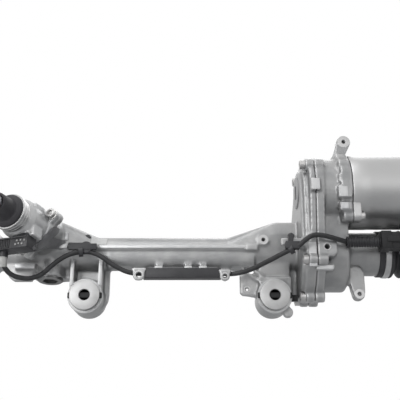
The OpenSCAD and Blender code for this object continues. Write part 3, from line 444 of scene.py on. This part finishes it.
def markEdges(mesh):
    count = len(mesh.vertices)
    places = np.empty(count * 3)
    mesh.vertices.foreach_get("co", places)
    normals = np.empty(count * 3)
    mesh.vertex_normals.foreach_get("vector", normals)
    places, normals = places.reshape(-1, 3), normals.reshape(-1, 3)
    pairs = np.empty(len(mesh.edges) * 2, int)
    mesh.edges.foreach_get("vertices", pairs)
    a, b = pairs.reshape(-1, 2).T
    reach = places[b] - places[a]
    length = np.linalg.norm(reach, axis=1) + 1e-9
    bend = np.zeros(count)
    number = np.zeros(count)
    np.add.at(bend, a, (reach * normals[a]).sum(1) / length)
    np.add.at(bend, b, -(reach * normals[b]).sum(1) / length)
    np.add.at(number, a, 1)
    np.add.at(number, b, 1)
    bend /= np.maximum(number, 1)
    for step in range(edgeMarks["passes"]):
        total = np.zeros(count)
        np.add.at(total, a, bend[b])
        np.add.at(total, b, bend[a])
        bend = 0.5 * bend + 0.5 * total / np.maximum(number, 1)
    for name, values in (("hollow", bend), ("ridge", -bend)):
        layer = mesh.attributes.new(name, "FLOAT", "POINT")
        layer.data.foreach_set("value", np.clip(values * edgeMarks["gain"], 0, 1).astype(np.float32))


# Forms added to the rack housing
rackForms = {
    # Plates with holes in front of the cable, which hold its channel
    "ears": ({"x": -48.6, "z": -33.2, "hole": 3.3, "outer": 7.2, "half": 9.2},
        {"x": 53.6, "z": -34.5, "hole": 2.7, "outer": 6.2, "half": 7.8}),
    "earFront": 31.8, "earBack": 28, "earRise": 4.6, "earShoulder": 1.2, "earRoot": 14, "earShelf": (3, 5.6),
    # Webs beside the arms, and the shelf at the tower's foot
    "boxes": (((130, -3, -57), (146, 14, -20)), ((-150, -6, -33), (-131, 8, -18)), ((-198, -25.5, -24), (-174, -13, -18))),
    # The left arm's right edge, around the bush's eye
    "edgeAt": (-107, -52), "edgeRadius": 20, "edgeTop": [(-87, -12), (-96, -12)], "edgeDepth": (-9, -0.5),
    "eyeAt": (-113, -55.5), "eyeRadius": 18.8,
    # The tube's swelled front, which stays clear of the rack's bore
    "swellAt": (6, -5), "swellRadius": 26.5, "swellFoot": (-11, -19), "swellBore": 18.6, "swellSpan": (-88, 90),
    # Two ribs at the flange's tab
    "ribs": ([(74, -24), (77, -23), (101.5, -39.4), (99.5, -42)], [(86, -22.4), (89, -21.4), (104, -34), (102, -37)]),
    "ribDepth": (12, 17),
}


def addEar(bm, x, z, hole, outer, half):
    form = rackForms
    front, back, (shelfLow, shelfHigh) = form["earFront"], form["earBack"], form["earShelf"]
    ring = [(hole, -front), (outer, -front), (outer, -back), (hole, -back)]
    turned(bm, ring, 40, shift(x, 0, z) @ turn(-90, "X"))
    top = z + hole + 0.2
    edge = [(half, top + form["earRise"]), (outer, top - form["earShoulder"]), (1, top)]
    points = [(x - wide, high) for wide, high in edge] + [(x + wide, high) for wide, high in reversed(edge)]
    outline(bm, points, back, front, fromFront)
    box(bm, (x - half + 1, -31, top + shelfLow), (x + half - 1, -form["earRoot"], top + shelfHigh))


def rackExtras(bm):
    form = rackForms
    for ear in form["ears"]:
        addEar(bm, **ear)
    for low, high in form["boxes"]:
        box(bm, low, high)
    outer = arc(form["edgeAt"], form["edgeRadius"], range(-75, 1, 15)) + form["edgeTop"]
    inner = arc(form["eyeAt"], form["eyeRadius"], range(20, -61, -16))
    outline(bm, outer + inner, *form["edgeDepth"], fromFront)
    outer = arc(form["swellAt"], form["swellRadius"], range(156, 217, 5)) + [form["swellFoot"]]
    inner = arc((0, 0), form["swellBore"], range(232, 167, -8))
    outline(bm, outer + inner, *form["swellSpan"], acrossRack)
    for points in form["ribs"]:
        outline(bm, points, *form["ribDepth"], fromFront)


# Lobes and square blocks around the motor's flange: each block's left side, front, foot and top
gearForms = {
    "lobes": (120, 146, 256, 280), "lobeRing": 43.5, "lobeRadius": 5.6, "lobeStart": 188.5, "flangeEnd": 201,
    "blocks": ((187, -70, 82, 90), (187, -76, 68, 78), (185.5, -76, 48.5, 63.5), (187, -74, 34, 44)), "blockDepth": 12,
}


def gearExtras(bm):
    form = gearForms
    for y, z in arc(motorAt, form["lobeRing"], form["lobes"]):
        rod(bm, form["lobeRadius"], form["lobeStart"], form["flangeEnd"], shift(0, y, z) @ turn(90, "Y"), 32)
    for x, front, low, high in form["blocks"]:
        box(bm, (x, front, low), (form["flangeEnd"], front + form["blockDepth"], high))


castSizes = {"voxel": 1.5, "smooth": 5, "thin": 0.62, "finish": "castAluminium"}
rackCasting = castPiece("rackCasting", "rack_housing", castSizes, rackExtras)
castPiece("gearCasting", "gear_case", castSizes, gearExtras)
sensorSizes = {**castSizes, "voxel": 0.9, "smooth": 3, "finish": "castBright"}
sensorCasting = castPiece("sensorCasting", "sensor_housing", sensorSizes)
castPiece("controlHousing", "ecu_housing", {**castSizes, "voxel": 1.1, "smooth": 3})
print("castings made")


# Machined faces around threaded holes: an annulus that stands a hair proud, and the hole's wall
spotFaces = (
    {"at": (-48.6, -31.8, -33.2), "outer": 5.4, "hole": 3.3, "deep": 4},
    {"at": (53.6, -31.8, -34.5), "outer": 4.6, "hole": 2.6, "deep": 4},
    {"at": (101, -25, 12), "outer": 6.3, "hole": 2.2, "deep": 7},
    {"at": (80.5, -14, -47), "outer": 4.2, "hole": 2.2, "deep": 5},
    {"at": (201.6, -50, 130.6), "outer": 7.9, "hole": 2.4, "deep": 14},
    {"at": (213.5, -22, -54), "outer": 6.2, "hole": 2.2, "deep": 12},
    {"at": (171, -62, -7), "outer": 4.6, "hole": 3.0, "deep": 10},
)
bm = bmesh.new()
for spot in spotFaces:
    r, h, d = spot["outer"], spot["hole"], spot["deep"]
    face = [(h + 0.5, 0.25), (r - 0.3, 0.25), (r, 0), (r, -1), (h + 0.4, -1), (h + 0.4, -d), (h, -d), (h, -0.2)]
    turned(bm, face, 48, facingFront(*spot["at"]))
keep(bm, "machinedFaces", "machinedAluminium", sharp=30)


# Bright lands on the castings in a lighter copy of the cast finish: machined lands that carry a painted highlight, and
# on the tube's rib a painted highlight; the low and high corner of each
highlightLands = {
    "towerFoot": (((-197.4, -26.2, -23.6), (-174.6, -25, -18.4)), ((-146, -27, 0.8), (-136.6, -23, 6.2)),
        ((-140.4, -27.2, 11), (-136, -23, 21))),
    "tubeRibHighlight": (((-98, -23.8, 1.8), (88, -22, 5.8)),),
    "tubePads": (((-30.7, -20.2, -23.2), (-21.2, -18, -19.4)), ((5.2, -20.2, -23.2), (14.3, -18, -19.4)),
        ((22.8, -20.2, -23.2), (32.3, -18, -19.4))),
    "beltHousing": (((154, -79.5, 57.6), (164, -78.4, 71.4)), ((149.8, -61, -30), (158.8, -56, -1)),
        ((158.4, -56, -32.4), (178, -48, -27.2))),
    "leftArm": (((-132.2, -19.9, -43), (-127.8, -18.5, -11)), ((-98.2, -19.9, -43), (-93.8, -18.5, -11))),
    "motorFlange": (((186.2, -76.8, 49.4), (196.4, -75.4, 62.6)), ((188, -70.8, 83), (196.4, -69.4, 89)),
        ((188, -74.8, 35), (196.4, -73.4, 43))),
}
bm = bmesh.new()
for group in highlightLands.values():
    for low, high in group:
        box(bm, low, high)
keep(bm, "castLandHighlights", "castLand", bevel=0.5)


# Bushes: a sleeve with a front disc, rubber with a stop block, a near-black lining and disc in the bore that paint its
# shade, and the eye's machined ring with a painted highlight
bush = {
    "at": {"left": (-113, 0, -55.5), "right": (113, 0, -55.5)}, "half": 25, "bore": 6.25, "sleeve": 10, "disc": 18,
    "block": ((-20.5, -3.5, 19), (20.5, 3.5, 22.4)),
    "ring": [(17.7, 19.2), (20.2, 19.2), (20.9, 18.5), (20.9, 15), (17.7, 15)],
    "rubber": [(10, 22.45), (16.8, 22.45), (17.4, 21.8), (17.5, 20.6), (17.5, 19.2), (16.4, 18.9), (16.4, -21),
        (15.8, -22.4), (14.5, -22.8), (13, -21), (11.6, -22.6), (10, -23)],
}
bore, half, sleeve, disc = (bush[size] for size in ("bore", "half", "sleeve", "disc"))
sleeveProfile = [(bore + 0.8, half), (disc - 0.9, half), (disc - 0.25, half - 0.3), (disc, half - 0.9), (disc, half - 2.5),
    (sleeve, half - 2.5), (sleeve, -half), (bore + 0.6, -half), (bore + 0.2, -half + 0.4), (bore + 0.2, half - 0.7)]
# A lining and a disc across the bore's middle, near-black: painted shade inside the bush
boreShadeProfile = [(bore + 0.2, half - 2), (bore, half - 2), (bore, -1), (0, -1), (0, -2), (bore + 0.2, -2)]
for side, at in bush["at"].items():
    place = facingFront(*at)
    label = side.capitalize()
    bm = bmesh.new()
    turned(bm, sleeveProfile)
    keep(bm, "bushSleeve" + label, "sleeveSteel", place=place, stands=("bush_sleeve_" + side,), sharp=25)
    bm = bmesh.new()
    turned(bm, boreShadeProfile)
    keep(bm, "bushBoreShade" + label, "boreBlack", place=place, sharp=25)
    bm = bmesh.new()
    # The eye's machined ring in the lighter land finish, which paints a highlight on it
    turned(bm, bush["ring"], 80, place)
    keep(bm, "eyeFaceHighlight" + label, "castLand", sharp=30)
    bm = bmesh.new()
    box(bm, *bush["block"])
    soften(bm, 1.2)
    turned(bm, bush["rubber"])
    keep(bm, "bushRubber" + label, "rubber", place=place, stands=("bush_rubber_" + side,), sharp=50)
print("bushes made")


# Tower: dust cap, machined neck and bolts
tower = {
    "cap": [(18.8, 99.4), (19.4, 99.2), (19.8, 99.8), (19.6, 101.4), (18.4, 103), (14.4, 104.8), (13.4, 107), (12.9, 114),
        (12.5, 123.2), (11.9, 124), (10.4, 124), (9.5, 123.2), (9.5, 99.2), (18, 99.2)],
    "neck": [(19.6, 84), (20.3, 84.1), (20.4, 85.4), (20, 85.8), (20, 87), (20.6, 87.3), (20.6, 89.4), (20.1, 89.8),
        (20.1, 91.2), (21.2, 91.6), (21.5, 92), (21.5, 94.8), (20.9, 95.2), (20.9, 96), (21.4, 96.4), (21.4, 98.4),
        (20.8, 99.2), (19.8, 99.4), (19.2, 99.3)],
    "bolts": (22, 142, 262), "boltRing": 30.5, "shank": 3, "shankSpan": (35, 53),
    "head": [(0, 53), (6.6, 53), (6.6, 54.2), (5.6, 54.6), (5.6, 58.2), (5.0, 59), (3.4, 59), (3.2, 56.4), (0, 56.2)],
}
bm = bmesh.new()
turned(bm, tower["cap"])
keep(bm, "dustCap", "capRubber", place=pinionPlace, stands=("dust_cap",))
bm = bmesh.new()
turned(bm, tower["neck"])
keep(bm, "neckRings", "machinedAluminium", place=pinionPlace, sharp=25)
bm = bmesh.new()
for angle in tower["bolts"]:
    place = turn(angle, "Z") @ shift(tower["boltRing"], 0, 0)
    rod(bm, tower["shank"], *tower["shankSpan"], place, 32)
    turned(bm, tower["head"], 32, place)
keep(bm, "towerBolts", "zincSteel", place=pinionPlace, stands=("tower_bolts",), sharp=30)

# Sensor's plug: a dark body on the cast foot, with fins and terminals on its face
plug = {
    "body": ((-3.4, -38, 62.8), (17, -21, 81.4)), "bar": ((-26.5, -26.2, 79), (16, -24.4, 82.6)),
    "fins": 9, "finPitch": 2.3, "fin": ((-26, -37, 80), (-25, -26, 82)),
    "terminals": ((1, -35), (5, -34.4), (9.4, -35), (2.6, -30.6), (7.4, -30.4), (12, -31)), "terminal": (2.4, 2.6),
    "terminalSpan": (81, 82.2),
}
bm = bmesh.new()
box(bm, *plug["body"])
for k in range(plug["fins"]):
    box(bm, *((x + plug["finPitch"] * k, y, z) for x, y, z in plug["fin"]))
box(bm, *plug["bar"])
keep(bm, "plugBody", "blackPlastic", place=pinionPlace, bevel=0.4)
bm = bmesh.new()
(wide, high), (low, top) = plug["terminal"], plug["terminalSpan"]
for x, y in plug["terminals"]:
    box(bm, (x, y, low), (x + wide, y + high, top))
keep(bm, "plugTerminals", "darkSteel", place=pinionPlace, bevel=0.3)
print("tower made")


# Flange bolts of the belt housing, and the motor's bolts
flange = {
    "drumRing": 61, "drumAngles": (200, 250, 300, 345, 20), "caseRing": 41, "caseAngles": (40, 144),
    "drumBolt": [(0, 171), (3, 171), (3, 149), (5.5, 149), (5.5, 143.6), (4.9, 143), (3.2, 143), (3.0, 146), (0, 146.2)],
    "motorRing": 51, "motorAngles": (72, 232, 345),
    "motorBolt": [(0, 192), (2.5, 192), (2.5, 212), (4.8, 212), (4.8, 216.4), (4.2, 217), (2.6, 217), (2.4, 214.6),
        (0, 214.4)],
}
drumBolts = arc((0, 0), flange["drumRing"], flange["drumAngles"]) + arc(motorAt, flange["caseRing"], flange["caseAngles"])
motorBolts = arc(motorAt, flange["motorRing"], flange["motorAngles"])
bm = bmesh.new()
for spots, profile in ((drumBolts, flange["drumBolt"]), (motorBolts, flange["motorBolt"])):
    for y, z in spots:
        turned(bm, profile, 32, shift(0, y, z) @ turn(90, "Y"))
keep(bm, "flangeBolts", "zincSteel", stands=("flange_bolts",), sharp=30)

# Cover over the end of the motor's shaft, and a black bar on it that paints the shade of a slot
cover = {
    "profile": [(0, 142), (9, 141.9), (15.6, 141.5), (18.6, 141.5), (19.6, 141.9), (20, 142.4), (20, 143), (16, 143),
        (16, 147.8), (0, 147.8)],
    "slotHalf": (1.6, 8.5), "slotSpan": (141.3, 142.4),
}
bm = bmesh.new()
turned(bm, cover["profile"], 80, motorPlace)
keep(bm, "shaftEndCover", "castPlain", stands=("shaft_end_cover",), sharp=30)
# A black bar on the cover's face: painted shade of the slot
bm = bmesh.new()
corners = [[centre + sign * reach for centre, reach in zip(motorAt, cover["slotHalf"])] for sign in (-1, 1)]
box(bm, *((x, y, z) for x, (y, z) in zip(cover["slotSpan"], corners)))
keep(bm, "coverSlotShade", "blackPlastic", bevel=0.3)

# Motor can with its lugs
can = {
    "lugRadius": 7, "rootRing": 38.25, "rootRadius": 15, "lugSpan": (203.1, 212),
    "profile": [(15, 203), (43.3, 203), (44.9, 203.7), (45.5, 205.2), (45.5, 225.6), (45.25, 226.1), (45.25, 288.2),
        (45, 289), (43, 289), (43, 205.6), (15, 205.6)],
}
bm = bmesh.new()
for tip, root in zip(motorBolts, arc(motorAt, can["rootRing"], flange["motorAngles"])):
    outline(bm, linked(tip, can["lugRadius"], root, can["rootRadius"]), *can["lugSpan"], acrossRack)
soften(bm, 0.8)
turned(bm, can["profile"], 160, motorPlace)
keep(bm, "motorCan", "motorSteel", stands=("motor_can",), sharp=28)
print("motor made")


# Boots: three lengths a side, so that each crosses one joint
boot = {
    "wall": 1.5, "big": 28.5, "folds": 11, "first": 8, "pitch": 138 / 11, "depth": 7, "taper": 4, "taperFolds": 3,
    "collar": [(-15, 27.9), (-14.4, 28.5), (-8.4, 28.5), (-0.6, 28.5), (0.2, 29.3), (1.4, 29.5), (2.8, 28.9), (4.5, 26.5),
        (6.4, 23.4)],
    "fold": ((0, 0), (0.1, 0.10), (0.2, 0.36), (0.32, 0.78), (0.42, 0.96), (0.5, 1), (0.58, 0.96), (0.68, 0.78),
        (0.8, 0.36), (0.9, 0.10)),
    "cuff": [(147, 15.2), (151, 13.6), (160, 12.4), (166, 11.8), (172, 10.4), (177, 9.2), (178.4, 9), (180.6, 9), (181, 9),
        (186, 9), (188.6, 9), (189.6, 9.2), (190, 8.6)],
    "cutFolds": (8, 9), "foldsSpan": (1.4, 106.8), "cuffEnd": 150,
    "clamp": [(28.5, -8), (28.9, -8.2), (29.5, -7.6), (29.7, -6.6), (29.7, -2.4), (29.5, -1.4), (28.9, -0.8), (28.5, -1)],
    "clampLock": [(-6, -29), (-5.2, -33.2), (-4.2, -34.2), (4.2, -34.2), (5.2, -33.2), (6, -29)], "lockSpan": (-7.3, -1.7),
    "rodClamp": [(9, 181), (9.5, 180.8), (10.1, 181.2), (10.2, 182), (10.2, 185), (10.1, 185.8), (9.5, 186.2), (9, 186)],
}


def bootProfile():
    points = list(boot["collar"])
    for fold in range(boot["folds"]):
        crest = boot["big"] + 1 - boot["taper"] * max(0, fold - boot["folds"] + boot["taperFolds"])
        start = boot["first"] + fold * boot["pitch"]
        for share, height in boot["fold"]:
            points.append((start + share * boot["pitch"], crest - boot["depth"] * (1 - height)))
    return points + boot["cuff"]


def bootPiece(name, place, low, high, stands):
    part = [(r, z) for z, r in bootProfile() if low <= z <= high]
    inner = [(r - boot["wall"], z) for r, z in reversed(part)]
    bm = bmesh.new()
    turned(bm, part + inner, 72, place)
    return keep(bm, name, "bootRubber", body=None, stands=stands, sharp=60)


cuts = [-16] + [boot["first"] + fold * boot["pitch"] for fold in boot["cutFolds"]] + [191]
for side, values in sides.items():
    place, way, end, label = values["place"], values["way"], rackEnds[side], side.capitalize()
    spans = {
        "Folds": ("root", "rack", *boot["foldsSpan"]),
        "Neck": ("rack", "seat_" + side, cuts[1], cuts[2]),
        "Cuff": ("seat_" + side, "rod_" + side, cuts[2], boot["cuffEnd"]),
    }
    for step, (part, (first, second, *ends)) in enumerate(spans.items()):
        piece = bootPiece("boot" + label + part, place, cuts[step], cuts[step + 1], ("boot_" + side,))
        start, stop = (gearPlace @ Vector((end + way * x, 0, 0)) for x in ends)
        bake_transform(piece)

    # Band clamps on both ends of the boot
    bm = bmesh.new()
    turned(bm, boot["clamp"], 120, place)
    outline(bm, boot["clampLock"], *boot["lockSpan"], place)
    keep(bm, "bootClamp" + label, "stainless", stands=("boot_clamp_" + side,), sharp=30)
    bm = bmesh.new()
    turned(bm, boot["rodClamp"], 80, place)
    keep(bm, "rodClamp" + label, "stainless", body="rod_" + side, stands=("rod_clamp_" + side,), sharp=30)
print("boots made")


# Tie rods with their balls and threads, and the lock nuts
tie = {
    "centre": 108, "ball": 13, "shank": [(6.5, 11.3), (6.5, 30), (7, 36), (7.5, 40), (7.5, 163), (8.4, 164), (9, 164.6),
        (9, 172.6), (8.4, 173.4), (7.2, 174.6)],
    "thread": (175, 232.6), "pitch": 1.5, "crest": 7.0, "root": 6.35, "tip": [(6.6, 232.8), (5.2, 235), (0, 235)],
    "nut": 12.7, "nutSpan": (291.2, 301.8),
}
rodProfile = arc((0, 0), tie["ball"], range(-90, 55, 9)) + tie["shank"]
z, threadEnd = tie["thread"]
while z < threadEnd:
    rodProfile += [(tie["crest"], z), (tie["root"], z + tie["pitch"] / 2)]
    z += tie["pitch"]
rodProfile += tie["tip"]
for side, values in sides.items():
    label = side.capitalize()
    bm = bmesh.new()
    turned(bm, rodProfile, 48, values["place"] @ shift(0, 0, tie["centre"]))
    keep(bm, "tieRod" + label, "brightSteel", body="rod_" + side, stands=("tie_rod_" + side,), sharp=25)
    bm = bmesh.new()
    rod(bm, tie["nut"], *tie["nutSpan"], values["place"], 6)
    keep(bm, "lockNut" + label, "zincSteel", body="rod_" + side, stands=("lock_nut_" + side,), bevel=0.7)
print("tie rods made")


# Patches laid on the castings: each spot is a start and a direction, both in millimetres
bpy.context.view_layer.update()
graph = bpy.context.evaluated_depsgraph_get()
skins = [BVHTree.FromObject(piece, graph) for piece in (rackCasting, sensorCasting)]
proud = 0.25


def laid(name, finish, rows, thick):
    bm = bmesh.new()
    grid = []
    for row in rows:
        for start, way in row:
            hits = [skin.ray_cast(gearPlace @ start, way) for skin in skins]
            spot = min((hit for hit in hits if hit[0]), key=lambda hit: hit[3])[0]
            grid.append(bm.verts.new(gearPlace.inverted() @ spot - proud * way))
    wide = len(rows[0])
    for k in range(len(rows) - 1):
        for j in range(wide - 1):
            first = k * wide + j
            bm.faces.new((grid[first], grid[first + wide], grid[first + wide + 1], grid[first + 1]))
    bmesh.ops.recalc_face_normals(bm, faces=bm.faces)
    bmesh.ops.solidify(bm, geom=bm.faces[:], thickness=thick)
    keep(bm, name, finish)


# Plain white label on the tube
plain = {"from": -109, "to": -90, "columns": 8, "angles": range(20, 57, 6), "thick": 0.2}
ways = [Vector((0, *around((0, 0), 1, -angle))) for angle in plain["angles"]]
rows = []
for column in range(plain["columns"] + 1):
    x = plain["from"] + (plain["to"] - plain["from"]) * column / plain["columns"]
    rows.append([(Vector((x, 0, 0)) - 60 * way, way) for way in ways])
laid("plainLabel", "whiteLabel", rows, plain["thick"])

# Painted shade of the web between the tower and the tube: a dark grey band laid from the tower's bolt down behind the
# plug, drawn as the camera sees it
webShade = {
    "lines": {
        "strapUpper": (((-143.9, 17.5), (-149, 11.5), (-154.4, 6), (-161.5, -2.5), (-170.9, -9)), 4.6),
        "strapLower": (((-157, -1.5), (-151, -1), (-145, -1.4), (-138, -3), (-134, -4.5)), 6),
    },
    "steps": 4, "across": 3, "front": -55, "tip": 0.55, "widen": 0.3, "thick": 1.2,
}
eye = gearPlace.inverted() @ Vector(view["from"])
for name, (points, half) in webShade["lines"].items():
    line = [Vector(point) for point in points]
    last = webShade["steps"] * (len(line) - 1)
    rows = []
    for k in range(last + 1):
        start = min(k // webShade["steps"], len(line) - 2)
        along = (line[start + 1] - line[start]).normalized()
        spot = line[start].lerp(line[start + 1], k / webShade["steps"] - start)
        side = Vector((-along.y, along.x)) * half * min(1, webShade["tip"] + webShade["widen"] * min(k, last - k))
        row = []
        for j in range(-webShade["across"], webShade["across"] + 1):
            flat = spot + side * j / webShade["across"]
            row.append((eye, (Vector((flat.x, webShade["front"], flat.y)) - eye).normalized()))
        rows.append(row)
    laid(name, "strapRubber", rows, webShade["thick"])


# Sensor cable along the front, held by clips and the channel all the way
cable = {
    "radius": 2.9, "smooth": 6, "sides": 5,
    "route": [(-202.5, -62.5, -21.6), (-202, -60, -26), (-199, -56, -33), (-193, -51, -38), (-184, -45, -40),
        (-174, -39, -39), (-163, -34, -33), (-152, -34, -23), (-140, -33, -13), (-129, -32, -7.5), (-119, -30, -5),
        (-110, -29, -4.5), (-101, -29, -7), (-92, -29, -12), (-82, -28, -19), (-72, -27, -24.5), (-62, -26, -28.5),
        (-52, -25, -30), (-40, -24, -30), (-10, -24, -30), (25, -24, -30), (50, -24, -30), (62, -25, -30.5),
        (74, -29, -29.5), (86, -36, -27), (98, -45, -23), (108, -53, -19.5), (118, -60, -15.5), (129, -65, -11),
        (138, -68, -7), (145, -71, -1.5), (153, -73, 3), (163, -72.5, 3.5), (173, -70, 2), (183, -66, 0.5),
        (192, -58, 0.5), (199, -54.5, 0.5), (234, -54.5, 0.5)],
    "sleeveAt": (-202.2, -61.4, -24.5), "sleeveLean": 12,
    "sleeve": [(2.9, -6.4), (4.4, -6.6), (4.9, -6), (4.9, 5.4), (4.5, 6), (2.9, 6)],
}
curve = bpy.data.curves.new("sensorCable", "CURVE")
curve.dimensions = "3D"
curve.bevel_depth = cable["radius"] * 0.001
curve.bevel_resolution = cable["sides"]
curve.resolution_u = cable["smooth"]
curve.use_fill_caps = True
spline = curve.splines.new("BEZIER")
spline.bezier_points.add(len(cable["route"]) - 1)
for knot, point in zip(spline.bezier_points, cable["route"]):
    knot.co = gearPlace @ Vector(point)
    knot.handle_left_type = knot.handle_right_type = "AUTO"
line = addToScene("sensorCableLine", curve)
mesh = finalMesh(line)
bpy.data.objects.remove(line)
bpy.data.curves.remove(curve)
mesh.shade_smooth()
dress(addToScene("sensorCable", mesh), "cableJacket", stands=("sensor_cable",))

# Pale sleeve where the cable leaves the sensor's plug
bm = bmesh.new()
turned(bm, cable["sleeve"], 40, shift(*cable["sleeveAt"]) @ turn(cable["sleeveLean"], "X"))
keep(bm, "cableSleeve", "paleSleeve")

# Brackets of the cable's clips, a disc and a stud
brackets = {
    "boxes": (((-134.4, -33.3, -2.6), (-100, -29.6, 5)), ((122, -70, -11), (138.4, -60, -2.6))),
    "discAt": (-112.8, 0, 0.4), "disc": [(0, 32.7), (6.8, 32.7), (7.6, 31.8), (7.6, 28), (0, 28)],
    "studAt": (-114, 0, 16.4), "stud": [(0, 19.2), (3.2, 19), (4.4, 17.8), (4.6, 15), (0, 15)],
}
bm = bmesh.new()
for low, high in brackets["boxes"]:
    box(bm, low, high)
turned(bm, brackets["disc"], 40, facingFront(*brackets["discAt"]))
turned(bm, brackets["stud"], 40, facingFront(*brackets["studAt"]))
keep(bm, "clipBrackets", "blackPlastic", bevel=0.5)

# Conduit over the cable's last stretch
conduit = {
    "from": 195, "to": 234, "y": -54.5, "z": 0.5, "pitch": 3, "bore": 4.5,
    "ring": ((5.6, 0), (6.4, 0.3), (6.6, 0.8), (6.4, 1.3), (5.6, 1.7), (5.4, 2.3)),
}
rings = []
for x in range(conduit["from"], conduit["to"], conduit["pitch"]):
    rings += [(radius, x + step) for radius, step in conduit["ring"]]
rings += [(conduit["ring"][0][0], conduit["to"]), (conduit["bore"], conduit["to"]), (conduit["bore"], conduit["from"])]
bm = bmesh.new()
turned(bm, rings, 48, shift(0, conduit["y"], conduit["z"]) @ turn(90, "Y"))
keep(bm, "cableConduit", "blackPlastic", stands=("cable_conduit",), sharp=45)

# Plug at the motor's end, and the channel that carries the cable under the tube, both made of boxes
cableBoxes = {
    "cablePlug": {"finish": "plugBlack", "node": "cable_plug", "bevel": 0.8, "boxes": (
        ((234, -65.5, -9.5), (246, -44.5, 11.5)), ((246, -64.5, -8.7), (259, -45.5, 10.5)),
        ((240, -66.4, -2.5), (256, -64.5, 4.5)), ((236, -62, 10.7), (244, -50, 12.4)))},
    "cableChannel": {"finish": "blackPlastic", "node": "cable_channel", "bevel": 0.35, "boxes": (
        ((-44, -29, -36), (49, -15.3, -34)), ((-44, -29, -26), (49, -15.3, -24)),
        ((-44, -20.5, -35.5), (49, -15.3, -24.5)), ((-44, -29.6, -35.8), (49, -28.4, -24.2)))},
}
for name, values in cableBoxes.items():
    bm = bmesh.new()
    for low, high in values["boxes"]:
        box(bm, low, high)
    keep(bm, name, values["finish"], stands=(values["node"],), bevel=values["bevel"])
print("cable made")


# Nodes that stay, with their finishes
stay = {
    "brightSteel": ("rack", "pinion_shaft", "input_shaft", "pinion_bearings", "nut_bearing", "motor_bearings", "ball_nut",
        "nut_balls", "yoke", "motor_rotor"),
    "darkSteel": ("torsion_bar", "yoke_spring", "bearing_lock_ring", "motor_pulley", "yoke_plug", "ball_socket_left",
        "ball_socket_right"),
    "blackPlastic": ("sensor_unit", "sensor_connector", "nut_pulley", "rack_bushing", "ecu_cover", "cable_clips"),
    "rubber": ("shaft_seal", "yoke_ring", "breather"),
    "beltRubber": ("drive_belt",),
    "greyPlastic": ("ecu_connectors",),
    "whitePlastic": ("ball_seat_left", "ball_seat_right"),
    "copperWinding": ("stator",),
    "boardGreen": ("ecu_board",),
}
for finish, names in stay.items():
    for name in names:
        for place in nodes[name].material_slots:
            place.material = finishes[finish]
print("nodes finished")


# Floor, which runs out into the white backdrop far from the gear
ground = {"half": 6, "down": 0.2, "dark": 0.74, "light": 0.78, "rough": 0.8, "shine": 0.2, "fadeFrom": 0.75, "fadeTo": 1.7}
floorMesh = bpy.data.meshes.new("floor")
bm = bmesh.new()
bmesh.ops.create_grid(bm, x_segments=1, y_segments=1, size=ground["half"], matrix=shift(0, 0, -ground["down"]))
bm.to_mesh(floorMesh)
bm.free()
floor = addToScene("floor", floorMesh)
pale = Finish("paleFloor", {"Roughness": ground["rough"], "Specular IOR Level": ground["shine"]})
patches = pale.ramp(pale.noise(3, 2), *look["speck"])
pale.use(Base_Color=pale.mix(patches, grey(ground["dark"]), grey(ground["light"])))
away = pale.node("VectorMath", {"operation": "LENGTH"}, {0: pale.spot}, 1)
far = pale.ramp(away, ground["fadeFrom"], ground["fadeTo"]) * pale.node("LightPath", output="Is Camera Ray")
glow = pale.node("Emission", None, {"Color": (1, 1, 1, 1)})
both = pale.node("MixShader", None, {0: far, 1: Wire(pale.tree, pale.shader.outputs[0]), 2: glow})
pale.feed(pale.tree.nodes["Material Output"].inputs["Surface"], both)
floorMesh.materials.append(pale.material)

# Backdrop: white to the camera, and a soft light for the rest
backdrop = {"tint": (0.95, 0.97, 1, 1), "strength": 0.35, "rays": ("Camera", "Glossy", "Transmission")}
world = bpy.data.worlds.new("studio")
bpy.context.scene.world = world
world.use_nodes = True
studio = Nodes(world.node_tree)
cameraRay, glossyRay, clearRay = (studio.node("LightPath", output=f"Is {kind} Ray") for kind in backdrop["rays"])
white = studio.node("Background", None, {"Color": (1, 1, 1, 1)})
soft = studio.node("Background", None, {"Color": backdrop["tint"], "Strength": backdrop["strength"]})
shown = studio.node("MixShader", None, {0: cameraRay + glossyRay + clearRay, 1: soft, 2: white})
studio.feed(studio.tree.nodes["World Output"].inputs["Surface"], shown)

lamps = {
    "keyLamp": {"at": (-0.3, -0.6, 1.4), "size": 0.8, "power": 5.5},
    "sideLamp": {"at": (-0.85, -1.2, 0.3), "size": 0.7, "power": 8.5},
    "fillLamp": {"at": (0.7, -1.3, 0.3), "size": 0.8, "power": 1.4},
    "backLamp": {"at": (0.3, 0.9, 1.0), "size": 0.9, "power": 4},
}
aim = Vector((0.02, 0, 0.04))
for name, values in lamps.items():
    lamp = bpy.data.lights.new(name, "AREA")
    lamp.energy, lamp.size = values["power"], values["size"]
    holder = addToScene(name, lamp)
    holder.location = values["at"]
    holder.visible_camera = False
    holder.rotation_euler = (aim - Vector(values["at"])).to_track_quat("-Z", "Y").to_euler()
print("studio set")
